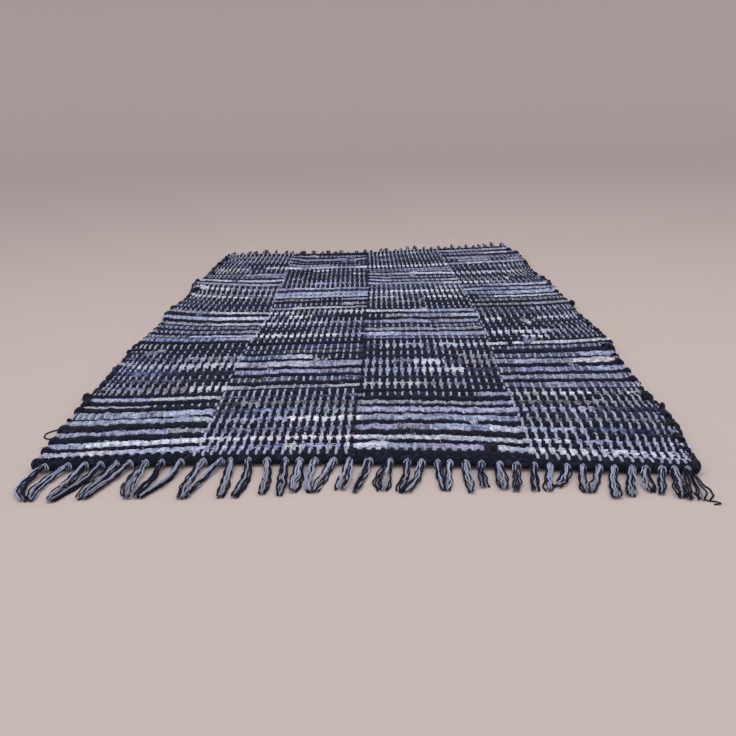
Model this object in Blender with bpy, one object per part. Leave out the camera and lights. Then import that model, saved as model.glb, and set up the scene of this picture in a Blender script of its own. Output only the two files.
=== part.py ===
"""A hand-woven rag rug in a log-cabin weave, about 0.6 by 0.9 m, with a knotted fringe at both ends.

Metres, +Z up. The rug lies flat on z = 0 with its length along Y, and the origin is under its
middle. It is three bodies: the woven cloth, ribbed by its rag picks, and at each end one heading,
the thick last pick that carries the fringe's knots and the locks of yarn below them.
"""

import math
import random
from collections import namedtuple

import bmesh
import bpy

MM = 0.001

# ---------------------------------------------------------------- the cloth's plan, in millimetres

# CORNER_X: where the left edge, the three borders between block columns and the right edge run, from
# the front edge to the back edge, a row for each border between block rows and for each half way.
CORNER_X = (
    (-306, -156, -7, 157, 299),
    (-309, -157.5, -6, 159, 312),
    (-311, -159, -5, 161, 313),
    (-314, -159.5, -4, 164, 318.5),
    (-317, -160, -3, 167, 328),
    (-314, -156.5, -2, 167.5, 322),
    (-320, -153, -1, 168, 324),
    (-314, -156, -0.5, 166, 321.5),
    (-326, -159, 0, 164, 325),
    (-317, -161.5, -2, 160, 314),
    (-317, -164, -4, 156, 319),
    (-317.5, -165, -5.5, 153, 318),
    (-315, -166, -7, 150, 307),
)
# BORDER_Y: the borders between block rows, a row for each from the front edge to the back edge, read
# at the left edge, at each border between block columns, at the right edge and half way between.
BORDER_Y = (
    (-427, -421, -416, -414, -414, -417, -426.5, -435.5, -443),
    (-284, -285, -280, -275, -276, -279, -283, -285, -287),
    (-119, -123, -121, -119, -118, -120, -124, -122, -113),
    (49, 28, 22, 30, 30, 28, 26, 26, 36),
    (207, 186, 167, 160, 167, 174, 171, 170, 176),
    (274, 276, 290, 301, 300, 299, 307, 319, 332),
    (427, 429, 425, 420, 419, 437, 452, 463, 471),
)
BLOCK_COLUMNS = len(CORNER_X[0]) - 1
BLOCK_ROWS = len(BORDER_Y) - 1

# The rag picks of each block row, front to back, dark and light by turns: whether the first one is
# dark, and how wide each rag lies. The row's widths are scaled to fill its length.
PickRow = namedtuple("PickRow", "first_dark widths")
PICK_ROWS = (
    PickRow(False, "14 7 10 11 11 12 11 7 13 7 9 11 9 10"),
    PickRow(True, "5 13 9 12 9 15 9 18 5 14 11 10 6 12 11"),
    PickRow(True, "9 10 4 13 9 11 6 9 8 12 15 16 9 12 5"),
    PickRow(True, "8 10 10 14 11 11 9 14 5 13 14 14 9"),
    PickRow(True, "6 15 11 14 10 11 8 15 6 9 4 9 8"),
    PickRow(True, "9 19 12 13 9 17 17 14 10 12"),
)
Rag = namedtuple("Rag", "low high turn_share")
DARK = Rag(7.5, 9.3, 0.28)  # crest of the thinnest and of a full rag, and its turn over its width
LIGHT = Rag(7.2, 8.9, -0.04)
FULL_RAG = 12.0  # the width at which a rag's crest is at its highest
WIDE_RAG = 10.0  # a rag wider than this has a flat-topped rib
VALLEY = 5.0  # height of the cloth between two ribs
RIB_SHOULDERS = (0.27, 0.73)  # where a wide rib's two top lines lie, across its width

# Where the mesh is cut across the rug, in block columns; the second and the last but one lie just
# inside the edges, where the ribs round down.
STATIONS = (0.0, 0.05, 0.6, 1.3, 2.0, 2.7, 3.4, 3.95, 4.0)
EDGE_DROP = 0.62  # an edge's rib height over the same rib's height inside
EDGE_UNDERCUT = 1.2  # how far the underside stays back from the turned rags
LARGEST_PLAIN_TURN = 3.0
CREST_WAVE = 0.5  # slow lift and fall of the crests over the cloth

# The largest turned rags at the edges: edge (0 left, 1 right), block row and place in it, both
# counted from 0 at the front, and how far it stands out in millimetres.
Turn = namedtuple("Turn", "edge row place out")
BIG_TURNS = (
    Turn(0, 0, 13, 8.0),
    Turn(0, 1, 3, 4.0),
    Turn(0, 1, 13, 8.0),
    Turn(0, 1, 14, 5.0),
    Turn(0, 2, 11, 6.0),
    Turn(0, 2, 12, 7.0),
    Turn(0, 3, 0, 4.0),
    Turn(0, 4, 2, 5.5),
    Turn(0, 4, 3, 5.0),
    Turn(0, 5, 2, 5.5),
    Turn(0, 5, 7, 5.0),
    Turn(1, 0, 2, 4.5),
    Turn(1, 0, 3, 4.0),
    Turn(1, 0, 9, 5.0),
    Turn(1, 1, 11, 4.0),
    Turn(1, 1, 12, 5.5),
    Turn(1, 1, 13, 6.0),
    Turn(1, 2, 6, 5.0),
    Turn(1, 2, 7, 5.0),
    Turn(1, 3, 1, 7.0),
    Turn(1, 3, 2, 9.0),
    Turn(1, 3, 4, 5.0),
    Turn(1, 4, 0, 4.5),
    Turn(1, 5, 6, 6.0),
    Turn(1, 5, 7, 5.0),
)

# ---------------------------------------------------------------------- the headings and the fringe

PARTING = 0.3  # clear slot between the cloth and a heading

# A heading's section, as points of distance out from the cloth's edge and height. It is stretched
# to the heading's own width and height at each place.
Section = namedtuple("Section", "out up")
HEADING = (
    Section(PARTING, 0.0),
    Section(PARTING, 6.8),
    Section(3.2, 10.8),
    Section(8.4, 10.0),
    Section(11.8, 3.4),
    Section(11.8, 0.0),
)
# How wide and how high each heading lies, at the same places across as a row of BORDER_Y.
Roll = namedtuple("Roll", "widths heights")
FRONT_ROLL = Roll(
    (11, 12.5, 13.5, 16.5, 18.5, 21.5, 18, 17, 12),
    (10.4, 10.6, 10.7, 11.0, 11.2, 11.4, 11.2, 11.0, 10.5),
)
BACK_ROLL = Roll(
    (13, 14, 14, 12, 18, 19, 9, 8, 8),
    (10.4, 10.8, 10.6, 9.9, 11.0, 11.3, 9.5, 9.2, 9.2),
)
HEADING_END = 0.58  # a heading's end section over its full section
END_RUN = 4.5  # how far in from its end a heading reaches its full section
KNOT = Section(12.4, 9.8)  # the crown of a knot, over the heading's outer shoulder

LOCKS_PER_KNOT = 3
LOCK_PITCH = 2.9  # between the roots of a knot's locks
LOCK_WIDTHS = (2.2, 2.9, 3.0, 2.4)  # at the root, twice on the way, and at the tip
LOCK_HEIGHTS = (3.4, 2.6, 2.4, 1.8)
LOCK_CLEARANCE = 0.45  # the least space between two neighbouring locks
LOCK_STEPS = (0.0, 0.36, 0.70, 1.0)  # where those sections lie along the lock
SPREADING_ROUNDS = 60  # passes that push locks clear of their neighbours

# The front fringe, in bunches whose tips lie together, left to right: the places of the bunch's
# knots, the middle of its tips, the tips' spread, and how far they reach past the heading.
Bunch = namedtuple("Bunch", "knots tip spread reach")
FRONT_BUNCHES = (
    Bunch((-288.5, -268), -281, 15, 47),
    Bunch((-253, -238), -262, 12, 50),
    Bunch((-224, -212), -236, 12, 48),
    Bunch((-198,), -197, 13, 50),
    Bunch((-183.5, -165.5), -188, 13, 49),
    Bunch((-145, -128), -149, 13, 52),
    Bunch((-119,), -118, 9, 52),
    Bunch((-103,), -106, 8, 52),
    Bunch((-86,), -83, 9, 47),
    Bunch((-69,), -68, 7, 49),
    Bunch((-55,), -57, 8, 44),
    Bunch((-42, -24.5), -40, 13, 44),
    Bunch((-10,), -17, 12, 40),
    Bunch((8,), -4, 6, 44),
    Bunch((26,), 20, 12, 40),
    Bunch((42, 55), 37, 13, 42),
    Bunch((70, 80), 74, 9, 37),
    Bunch((95,), 95, 6, 39),
    Bunch((108,), 107, 12, 31),
    Bunch((124,), 124, 11, 33),
    Bunch((139.5,), 133, 8, 35),
    Bunch((154,), 149, 10, 34),
    Bunch((168,), 161, 8, 32),
    Bunch((182,), 169, 9, 26),
    Bunch((196, 210), 193, 14, 32),
    Bunch((222.5,), 213, 10, 39),
    Bunch((238,), 227, 12, 36),
    Bunch((250,), 244, 10, 29),
    Bunch((264,), 252, 7, 32),
    Bunch((273.5,), 266, 10, 36),
    Bunch((284.5,), 290, 14, 41),
)

BACK_KNOTS = 38
BACK_REACH = (46, 62)  # the shortest and the longest of the back fringe
BACK_SWAY = 6.0  # how far a back bunch's tips may lie to one side
BACK_SPREAD = (7, 10)
BACK_JITTER = 1.4  # how unevenly the back knots are spaced
BACK_MARGIN = 7.0  # from the heading's end to its first knot
SEED = 11

# -------------------------------------------------------------------------------------- materials

RAG_CLOTH = (0.030, 0.033, 0.055)
COTTON_YARN = (0.055, 0.060, 0.085)
COTTON_ROUGHNESS = 0.95


def spline(values, t):
    """A smooth curve through evenly spaced values, read at t: 0 is the first, 1 the second."""
    first = min(int(t), len(values) - 2)
    part = t - first
    here, there = values[first], values[first + 1]
    before = values[max(first - 1, 0)]
    after = values[min(first + 2, len(values) - 1)]
    slope_here = (there - before) / 2
    slope_there = (after - here) / 2
    bend = 2 * (here - there) + slope_here + slope_there
    rise = 3 * (there - here) - 2 * slope_here - slope_there
    return here + part * (slope_here + part * (rise + part * bend))


def lie(across, along):
    """Plan place, mm, of a point given in block columns across and block rows along the cloth.

    Every border is a smooth curve across. Between two borders x follows a smooth curve, and y a
    straight line.
    """
    x = spline([spline(row, across) for row in CORNER_X], 2 * along)
    row = min(int(along), BLOCK_ROWS - 1)
    near, far = (spline(BORDER_Y[row + step], 2 * across) for step in (0, 1))
    return x, near + (far - near) * (along - row)


def rib_lines():
    """The cloth's cross lines, front to back, as (along, height, turn out on each side)."""
    out_at = {(turn.edge, turn.row, turn.place): turn.out for turn in BIG_TURNS}
    lines = []
    for row, picks in enumerate(PICK_ROWS):
        widths = [float(word) for word in picks.widths.split()]
        whole = sum(widths)
        done = 0.0
        for place, width in enumerate(widths):
            rag = DARK if (place % 2 == 0) == picks.first_dark else LIGHT
            crest = rag.low + (rag.high - rag.low) * min(width / FULL_RAG, 1.0)
            plain = min(rag.turn_share * width, LARGEST_PLAIN_TURN)
            turns = [out_at.get((edge, row, place), plain) for edge in (0, 1)]
            lines.append((row + done / whole, VALLEY, (0.0, 0.0)))
            tops = RIB_SHOULDERS if width > WIDE_RAG else (0.5,)
            for part in tops:
                lines.append((row + (done + part * width) / whole, crest, turns))
            done += width
    lines.append((float(BLOCK_ROWS), VALLEY, (0.0, 0.0)))
    return lines


def cloth_grid():
    """The cloth's top points, mm, one list for each cross line."""
    grid = []
    for along, height, turns in rib_lines():
        line = []
        for across in STATIONS:
            x, y = lie(across, along)
            wave = CREST_WAVE * math.sin(1.7 * across + 2.3 * along) if height > VALLEY else 0.0
            z = height + wave
            if across in (STATIONS[0], STATIONS[-1]):
                right = across == STATIONS[-1]
                x += turns[1] if right else -turns[0]
                z = height * EDGE_DROP
            line.append((x, y, z))
        grid.append(line)
    return grid


def new_object(name, points, faces, material):
    """One closed mesh object from points in millimetres, with its faces turned outwards."""
    mesh = bpy.data.meshes.new(name)
    mesh.from_pydata([tuple(MM * c for c in point) for point in points], [], faces)
    body = bmesh.new()
    body.from_mesh(mesh)
    bmesh.ops.recalc_face_normals(body, faces=body.faces)
    body.to_mesh(mesh)
    body.free()
    mesh.materials.append(material)
    thing = bpy.data.objects.new(name, mesh)
    bpy.context.scene.collection.objects.link(thing)
    return thing


def cloth_material(name, colour):
    """A matt cotton finish."""
    material = bpy.data.materials.new(name)
    material.use_nodes = True
    shader = material.node_tree.nodes["Principled BSDF"]
    shader.inputs["Base Color"].default_value = (*colour, 1.0)
    shader.inputs["Roughness"].default_value = COTTON_ROUGHNESS
    shader.inputs["Metallic"].default_value = 0.0
    return material


def build_cloth(material):
    """The woven cloth: a ribbed top, scalloped sides and one flat underside."""
    grid = cloth_grid()
    lines, width = len(grid), len(STATIONS)
    points = [point for line in grid for point in line]
    faces = []
    for i in range(lines - 1):
        for j in range(width - 1):
            corner = i * width + j
            faces.append((corner, corner + 1, corner + width + 1, corner + width))

    # The underside's rim: every point of the end lines, and the two ends of the lines between.
    rims = []
    for i, line in enumerate(grid):
        whole = i in (0, lines - 1)
        rim = []
        for j, (x, y, _z) in enumerate(line):
            if whole or j in (0, width - 1):
                x += {0: EDGE_UNDERCUT, width - 1: -EDGE_UNDERCUT}.get(j, 0.0)
                rim.append(len(points))
                points.append((x, y, 0.0))
        rims.append(rim)
    for i in range(lines - 1):
        near, far = rims[i], rims[i + 1]
        faces.append((*near, *reversed(far)))
        left, right = i * width, i * width + width - 1
        faces.append((left, left + width, far[0], near[0]))
        faces.append((right, right + width, far[-1], near[-1]))
    for i in (0, lines - 1):
        for j in range(width - 1):
            top = i * width + j
            faces.append((top, top + 1, rims[i][j + 1], rims[i][j]))
    return new_object("woven_cloth", points, faces, material)


def straight_sided(corners):
    """The line of straight spans through corners (x, value), as a function of x."""
    def value_at(x):
        for (x0, v0), (x1, v1) in zip(corners, corners[1:]):
            if x <= x1 or (x1, v1) == corners[-1]:
                return v0 + (v1 - v0) * (x - x0) / (x1 - x0)

    return value_at


def back_bunches(low, high):
    """The back fringe: single knots at nearly even spacing, each lock swaying a little."""
    dice = random.Random(SEED)
    span = (high - low - 2 * BACK_MARGIN) / (BACK_KNOTS - 1)
    bunches = []
    for k in range(BACK_KNOTS):
        knot = low + BACK_MARGIN + k * span + dice.uniform(-BACK_JITTER, BACK_JITTER)
        tip = knot + dice.uniform(-BACK_SWAY, BACK_SWAY)
        bunches.append(Bunch((knot,), tip, dice.uniform(*BACK_SPREAD), dice.uniform(*BACK_REACH)))
    return bunches


def spread_apart(places, width):
    """Push sorted places sideways until each is clear of its neighbours."""
    gap = width + LOCK_CLEARANCE
    for _ in range(SPREADING_ROUNDS):
        for i in range(len(places) - 1):
            short = gap - (places[i + 1] - places[i])
            if short > 0:
                places[i] -= short / 2
                places[i + 1] += short / 2
    return places


def lock_paths(bunches):
    """For each lock in order: its root x, its x at each step, and its reach."""
    roots, tips, reaches = [], [], []
    for bunch in bunches:
        count = LOCKS_PER_KNOT * len(bunch.knots)
        for k in range(count):
            knot = bunch.knots[k // LOCKS_PER_KNOT]
            place = k % LOCKS_PER_KNOT - (LOCKS_PER_KNOT - 1) / 2
            roots.append(knot + place * LOCK_PITCH)
            tips.append(bunch.tip + bunch.spread * (k / (count - 1) - 0.5))
            reaches.append(bunch.reach - 3.0 * (k % 2))
    columns = []
    for step, width in zip(LOCK_STEPS, LOCK_WIDTHS):
        places = [root + (tip - root) * step for root, tip in zip(roots, tips)]
        columns.append(places if step == 0 else spread_apart(places, width))
    return [(column, reach) for column, reach in zip(zip(*columns), reaches)]


def build_heading(name, along, outward, roll, bunches_for, material):
    """One heading: the thick pick, its knots, and three locks out of the foot of each knot."""
    corners = [lie(across, along) for across in STATIONS]
    low, high = corners[0][0], corners[-1][0]
    edge_y = straight_sided(corners)
    width_at, height_at = (
        straight_sided([(x, spline(sizes, 2 * across)) for (x, _y), across in zip(corners, STATIONS)])
        for sizes in roll)
    bunches = bunches_for(low, high)
    locks = lock_paths(bunches)
    knots = [knot for bunch in bunches for knot in bunch.knots]
    points, faces = [], []

    def place_y(x, out):
        """The y of a section's point; past the section's outer side nothing is stretched."""
        inside = min(out, HEADING[-1].out)
        stretch = (width_at(x) - PARTING) / (HEADING[-1].out - PARTING)
        return edge_y(x) + outward * (PARTING + (inside - PARTING) * stretch + out - inside)

    def add(x, out, up):
        """Add a section's point at x, a distance out from the cloth's edge, and a height."""
        points.append((x, place_y(x, out), up * height_at(x) / HEADING[2].up))
        return len(points) - 1

    def ring(x, size=1.0):
        """Add one whole section of the pick."""
        middle = (HEADING[0].out + HEADING[-1].out) / 2
        return [add(x, middle + (at.out - middle) * size, at.up * size) for at in HEADING]

    def join(one, two, spans=range(len(HEADING))):
        """Side faces between two sections."""
        for i in spans:
            k = (i + 1) % len(HEADING)
            faces.append((one[i], one[k], two[k], two[i]))

    last = ring(low, HEADING_END)
    faces.append(tuple(last))
    full = ring(low + END_RUN)
    join(last, full)
    last = full
    for number, knot in enumerate(knots):
        own = locks[number * LOCKS_PER_KNOT:(number + 1) * LOCKS_PER_KNOT]
        cuts = [path[0] + side * LOCK_WIDTHS[0] / 2 for path, _reach in own for side in (-1, 1)]
        left, right = ring(cuts[0]), ring(cuts[-1])
        join(last, left)
        join(left, right, range(3))
        top, foot = HEADING[4], HEADING[5]
        tops = [left[4], *(add(x, top.out, top.up) for x in cuts[1:-1]), right[4]]
        feet = [left[5], *(add(x, foot.out, foot.up) for x in cuts[1:-1]), right[5]]
        crown = add(knot, KNOT.out, KNOT.up)
        rim = [left[3], *tops, right[3]]
        faces.extend((one, two, crown) for one, two in zip(rim, rim[1:] + rim[:1]))
        faces.append((*feet, right[0], left[0]))
        for gap in range(1, len(cuts) - 1, 2):
            faces.append((tops[gap], tops[gap + 1], feet[gap + 1], feet[gap]))
        for k, (path, reach) in enumerate(own):
            section = (tops[2 * k], tops[2 * k + 1], feet[2 * k + 1], feet[2 * k])
            for step, x, wide, high_up in list(zip(LOCK_STEPS, path, LOCK_WIDTHS, LOCK_HEIGHTS))[1:]:
                out = HEADING[-1].out + step * reach
                root_y = place_y(path[0], out)
                sides = ((-1, high_up), (1, high_up), (1, 0.0), (-1, 0.0))
                start = len(points)
                points.extend((x + side * wide / 2, root_y, up) for side, up in sides)
                following = tuple(range(start, start + len(sides)))
                for i in range(len(sides)):
                    n = (i + 1) % len(sides)
                    faces.append((section[i], section[n], following[n], following[i]))
                section = following
            faces.append(section)
        last = right
    full = ring(high - END_RUN)
    join(last, full)
    last = ring(high, HEADING_END)
    join(full, last)
    faces.append(tuple(last))
    return new_object(name, points, faces, material)


def main():
    for thing in list(bpy.data.objects):
        bpy.data.objects.remove(thing)
    build_cloth(cloth_material("rag_cloth", RAG_CLOTH))
    yarn = cloth_material("cotton_yarn", COTTON_YARN)
    build_heading("heading_front", 0, -1, FRONT_ROLL, lambda low, high: FRONT_BUNCHES, yarn)
    build_heading("heading_back", BLOCK_ROWS, 1, BACK_ROLL, back_bunches, yarn)


main()
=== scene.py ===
"""A hand-woven rag rug, dressed: rag picks, cotton warp ends, thick headings and a knotted fringe.

The rug lies on z = 0 with its length along Y. Every rag pick and every warp end of the weave is a
closed tube, set where the cloth's blocks lie on the floor. Sizes are in millimetres until a mesh is
made, which is in metres.
"""

import logging
import math
import random
from dataclasses import dataclass
from enum import Enum
from typing import Sequence

import bpy
import numpy as np
from mathutils import Matrix, Vector


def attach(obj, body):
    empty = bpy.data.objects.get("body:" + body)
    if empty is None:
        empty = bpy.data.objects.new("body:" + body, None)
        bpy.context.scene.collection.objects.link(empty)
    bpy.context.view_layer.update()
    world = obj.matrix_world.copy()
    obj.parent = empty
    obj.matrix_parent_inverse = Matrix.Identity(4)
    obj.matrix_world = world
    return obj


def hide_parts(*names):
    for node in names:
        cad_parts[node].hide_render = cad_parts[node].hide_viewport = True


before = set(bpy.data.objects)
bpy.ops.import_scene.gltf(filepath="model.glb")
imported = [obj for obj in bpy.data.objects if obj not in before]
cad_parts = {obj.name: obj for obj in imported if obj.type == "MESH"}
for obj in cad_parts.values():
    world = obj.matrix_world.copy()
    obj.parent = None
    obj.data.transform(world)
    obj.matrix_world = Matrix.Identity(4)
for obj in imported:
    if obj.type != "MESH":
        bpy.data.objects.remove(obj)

Array = np.ndarray
Value = bpy.types.NodeSocket | float
MM = 0.001
BODY = "root"
log = logging.getLogger("rag_rug")


# ------------------------------------------------------------------------------ colours and cloths


def linear(red: int, green: int, blue: int) -> tuple[float, float, float]:
    """Turn a display colour into a linear one.

    Args:
        red, green, blue: the colour as seen, each from 0 to 255.

    Returns:
        The linear colour: ((c + 0.055) / 1.055) to the power 2.4, near enough for cloth.
    """
    return tuple(((c / 255 + 0.055) / 1.055) ** 2.4 for c in (red, green, blue))


@dataclass(frozen=True)
class Dye:
    """One rag cloth's colours: its ground, its print or worn side, and how much of that shows."""

    ground: tuple[float, float, float]
    worn: tuple[float, float, float]
    share: float = 0.3
    fray: float = 0.3


class Cloth(Enum):
    """The cloths whose strips are woven into the rug, by plain names."""

    BLACK = Dye(linear(22, 22, 35), linear(40, 41, 63), 0.25, 0.03)
    INK = Dye(linear(26, 27, 45), linear(54, 57, 84), 0.35, 0.1)
    NAVY = Dye(linear(32, 34, 58), linear(70, 75, 112), 0.4, 0.15)
    SLATE = Dye(linear(56, 60, 80), linear(112, 118, 144), 0.4, 0.4)
    GREY = Dye(linear(94, 97, 116), linear(152, 156, 178), 0.45, 0.6)
    DENIM = Dye(linear(64, 71, 110), linear(124, 134, 174), 0.4, 0.5)
    BLUE = Dye(linear(90, 98, 137), linear(150, 158, 193), 0.45, 0.5)
    SKY = Dye(linear(121, 131, 166), linear(182, 189, 217), 0.45, 0.6)
    PALE = Dye(linear(152, 156, 182), linear(207, 210, 228), 0.5, 0.8)
    WHITE = Dye(linear(174, 175, 193), linear(218, 219, 233), 0.6, 1.0)
    CREAM = Dye(linear(158, 160, 173), linear(208, 209, 220), 0.5, 0.8)
    LAVENDER = Dye(linear(116, 117, 152), linear(176, 177, 210), 0.45, 0.6)
    BEIGE = Dye(linear(112, 112, 122), linear(166, 166, 176), 0.45, 0.5)
    KHAKI = Dye(linear(76, 78, 84), linear(124, 126, 130), 0.45, 0.4)
    OLIVE = Dye(linear(44, 47, 49), linear(84, 88, 90), 0.4, 0.2)
    TEAL = Dye(linear(46, 54, 80), linear(104, 117, 152), 0.45, 0.4)
    MINT = Dye(linear(134, 143, 165), linear(190, 199, 217), 0.5, 0.7)
    WINE = Dye(linear(36, 26, 37), linear(68, 55, 74), 0.4, 0.2)


class Yarn(Enum):
    """The colours of the two cotton yarns of the warp."""

    PALE = linear(173, 179, 205)
    DARK = linear(26, 27, 51)


def read_table(kind: type, text: str) -> tuple:
    """Read a table of one kind of thing.

    Args:
        kind: the dataclass of an entry, whose fields are the columns.
        text: the entries, parted by commas; their fields are numbers or names of cloths.

    Returns:
        The entries.
    """
    return tuple(
        kind(*(
            Cloth[word] if word.isalpha() else float(word) if "." in word else int(word)
            for word in entry.split()
        ))
        for entry in text.split(",")
    )


# --------------------------------------------------------------------------------- plan and weave


def spline(values: Array, t: Array) -> Array:
    """Read a smooth curve through evenly spaced values.

    Each span is the cubic whose ends have the two values, and whose slopes there are half the
    difference of the values on either side.

    Args:
        values: the values along the first axis, and t's shape along the others.
        t: where to read: 0 is the first value, 1 the second.

    Returns:
        The curve's value at each t.
    """
    last = len(values) - 1
    first = np.clip(t.astype(int), 0, last - 1)
    part = t - first
    before, here, there, after = (
        np.take_along_axis(values, np.clip(first + step, 0, last)[None], 0)[0]
        for step in (-1, 0, 1, 2)
    )
    slope_here = (there - before) / 2
    slope_there = (after - here) / 2
    bend = 2 * (here - there) + slope_here + slope_there
    rise = 3 * (there - here) - 2 * slope_here - slope_there
    return here + part * (slope_here + part * (rise + part * bend))


def ripple(dice: np.random.Generator, count: int, s: Array, waves: Sequence[float]) -> Array:
    """Slow random waves, one line for each pick.

    Each is the mean of one sine for each wavelength, with a random phase and a random stretch of
    up to a third of that wavelength.

    Args:
        dice: the seeded random source.
        count: how many lines.
        s: where to read, in the same unit as the wavelengths.
        waves: the wavelengths.

    Returns:
        An array (count, len(s)), mostly within -1 to 1.
    """
    total = np.zeros((count, s.size))
    for wave in waves:
        length = wave * dice.uniform(0.75, 1.33, (count, 1))
        total += np.sin(2 * np.pi * (s[None] / length + dice.random((count, 1))))
    return total / len(waves) * 1.4


@dataclass(frozen=True)
class Plan:
    """How the cloth lies on the floor, in millimetres.

    corner_x has a row for each border between block rows and each half way, front to back, with a
    value at each border between block columns. border_y has a row for each border, with a value at
    each border between block columns and each half way.
    """

    corner_x: tuple = (
        (-303, -156, -7, 157, 299),
        (-309, -157.5, -6, 159, 312),
        (-311, -159, -5, 161, 313),
        (-314, -159.5, -4, 164, 318.5),
        (-317, -160, -3, 167, 328),
        (-314, -156.5, -2, 167.5, 322),
        (-320, -153, -1, 168, 324),
        (-314, -156, -0.5, 166, 321.5),
        (-326, -159, 0, 164, 325),
        (-317, -161.5, -2, 160, 314),
        (-317, -164, -4, 156, 319),
        (-317.5, -165, -5.5, 153, 318),
        (-315, -166, -7, 150, 307),
    )
    border_y: tuple = (
        (-427, -421, -416, -414, -414, -417, -426.5, -435.5, -443),
        (-284, -285, -280, -275, -276, -279, -283, -285, -287),
        (-119, -123, -121, -119, -118, -120, -124, -122, -113),
        (49, 28, 22, 30, 30, 28, 26, 26, 36),
        (207, 186, 167, 160, 167, 174, 171, 170, 176),
        (274, 276, 290, 301, 300, 299, 307, 319, 332),
        (427, 429, 425, 420, 419, 437, 452, 463, 471),
    )

    def place(self, across: Array, along: Array) -> tuple[Array, Array]:
        """Find the plan places of points of the cloth.

        Every border is a smooth curve across. Between two borders x follows a smooth curve and y
        a straight line.

        Args:
            across: block columns from the left edge, 0 to 4.
            along: block rows from the front edge, 0 to 6.

        Returns:
            Their x and y, in millimetres.
        """
        across, along = np.broadcast_arrays(across, along)
        found = []
        for rows, at in ((self.corner_x, across), (self.border_y, 2 * across)):
            lines = [
                spline(np.broadcast_to(
                    np.reshape(row, (-1,) + (1,) * at.ndim), (len(row),) + at.shape), at)
                for row in rows
            ]
            found.append(np.stack(lines))
        first = np.clip(along.astype(int), 0, len(self.border_y) - 2)
        near, far = (np.take_along_axis(found[1], (first + step)[None], 0)[0] for step in (0, 1))
        return spline(found[0], 2 * along), near + (far - near) * (along - first)


# How wide each pick's rag lies in each block, in millimetres: block rows front to back, in each the
# block columns left to right, in each the picks front to back, a dark and a light one by turns. The
# first row begins with a light one and the last ends with one, as the headings are dark picks too.
RAG_WIDTHS: tuple[tuple[str, ...], ...] = (
    (
        "12.2 6.2 11 12 10 15 10 3 15 10 5 11 9 9",
        "14 6.6 9.3 8 10 11 12 7 15 4 13 6 8 15",
        "13.2 6.4 9.1 11.3 12 9 13 5 12 7 8 13 10 9",
        "16 7.5 9 13 12 13 8 14 12 6 10 14 9 7",
    ),
    (
        "4 18 8 13 9 15 8 19 5 16 9 8 5 10 15",
        "4 8 11 13 10 12 9 20 6 14 7 11 4 16 11",
        "9 10 9 10 9 17 9 18 4 12 11 11 6 13 11",
        "3 15 9 14 9 15 11 16 5 14 18 10 7 10 8",
    ),
    (
        "12 15 2 8 8 12 8 11 6 11 14 17 15 11 2",
        "9 9 2 13 9 12 6 7 9 13 18 17 7 12 8",
        "8 8 3 16 7 12 5 9 8 14 12 18 9 13 6",
        "7 10 8 15 12 9 6 10 9 11 16 12 6 14 4",
    ),
    (
        "8 10 10 14 10 10 12 13 4 9 24 19 15",
        "5 10 7 15 13 10 8 13 6 17 13 12 2",
        "10 8 12 13 14 14 9 9 4 13 11 12 17",
        "10 12 12 15 7 10 8 22 6 14 10 15 3",
    ),
    (
        "2 13 10 15 12 11 4 13 2 2 2 2 4",
        "15 22 17 13 11 10 6 10 5 8 3 10 11",
        "2 12 8 12 10 12 12 17 9 10 4 10 7",
        "4 15 8 18 9 10 9 21 7 15 7 15 12",
    ),
    (
        "20 24 14 14 14 24 18 12 4 5",
        "3 16 3 14 10 7 13 18 17 14",
        "5 18 24 10 8 14 22 10 8 14",
        "7 17 5 14 4 22 14 16 14 17",
    ),
)


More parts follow.
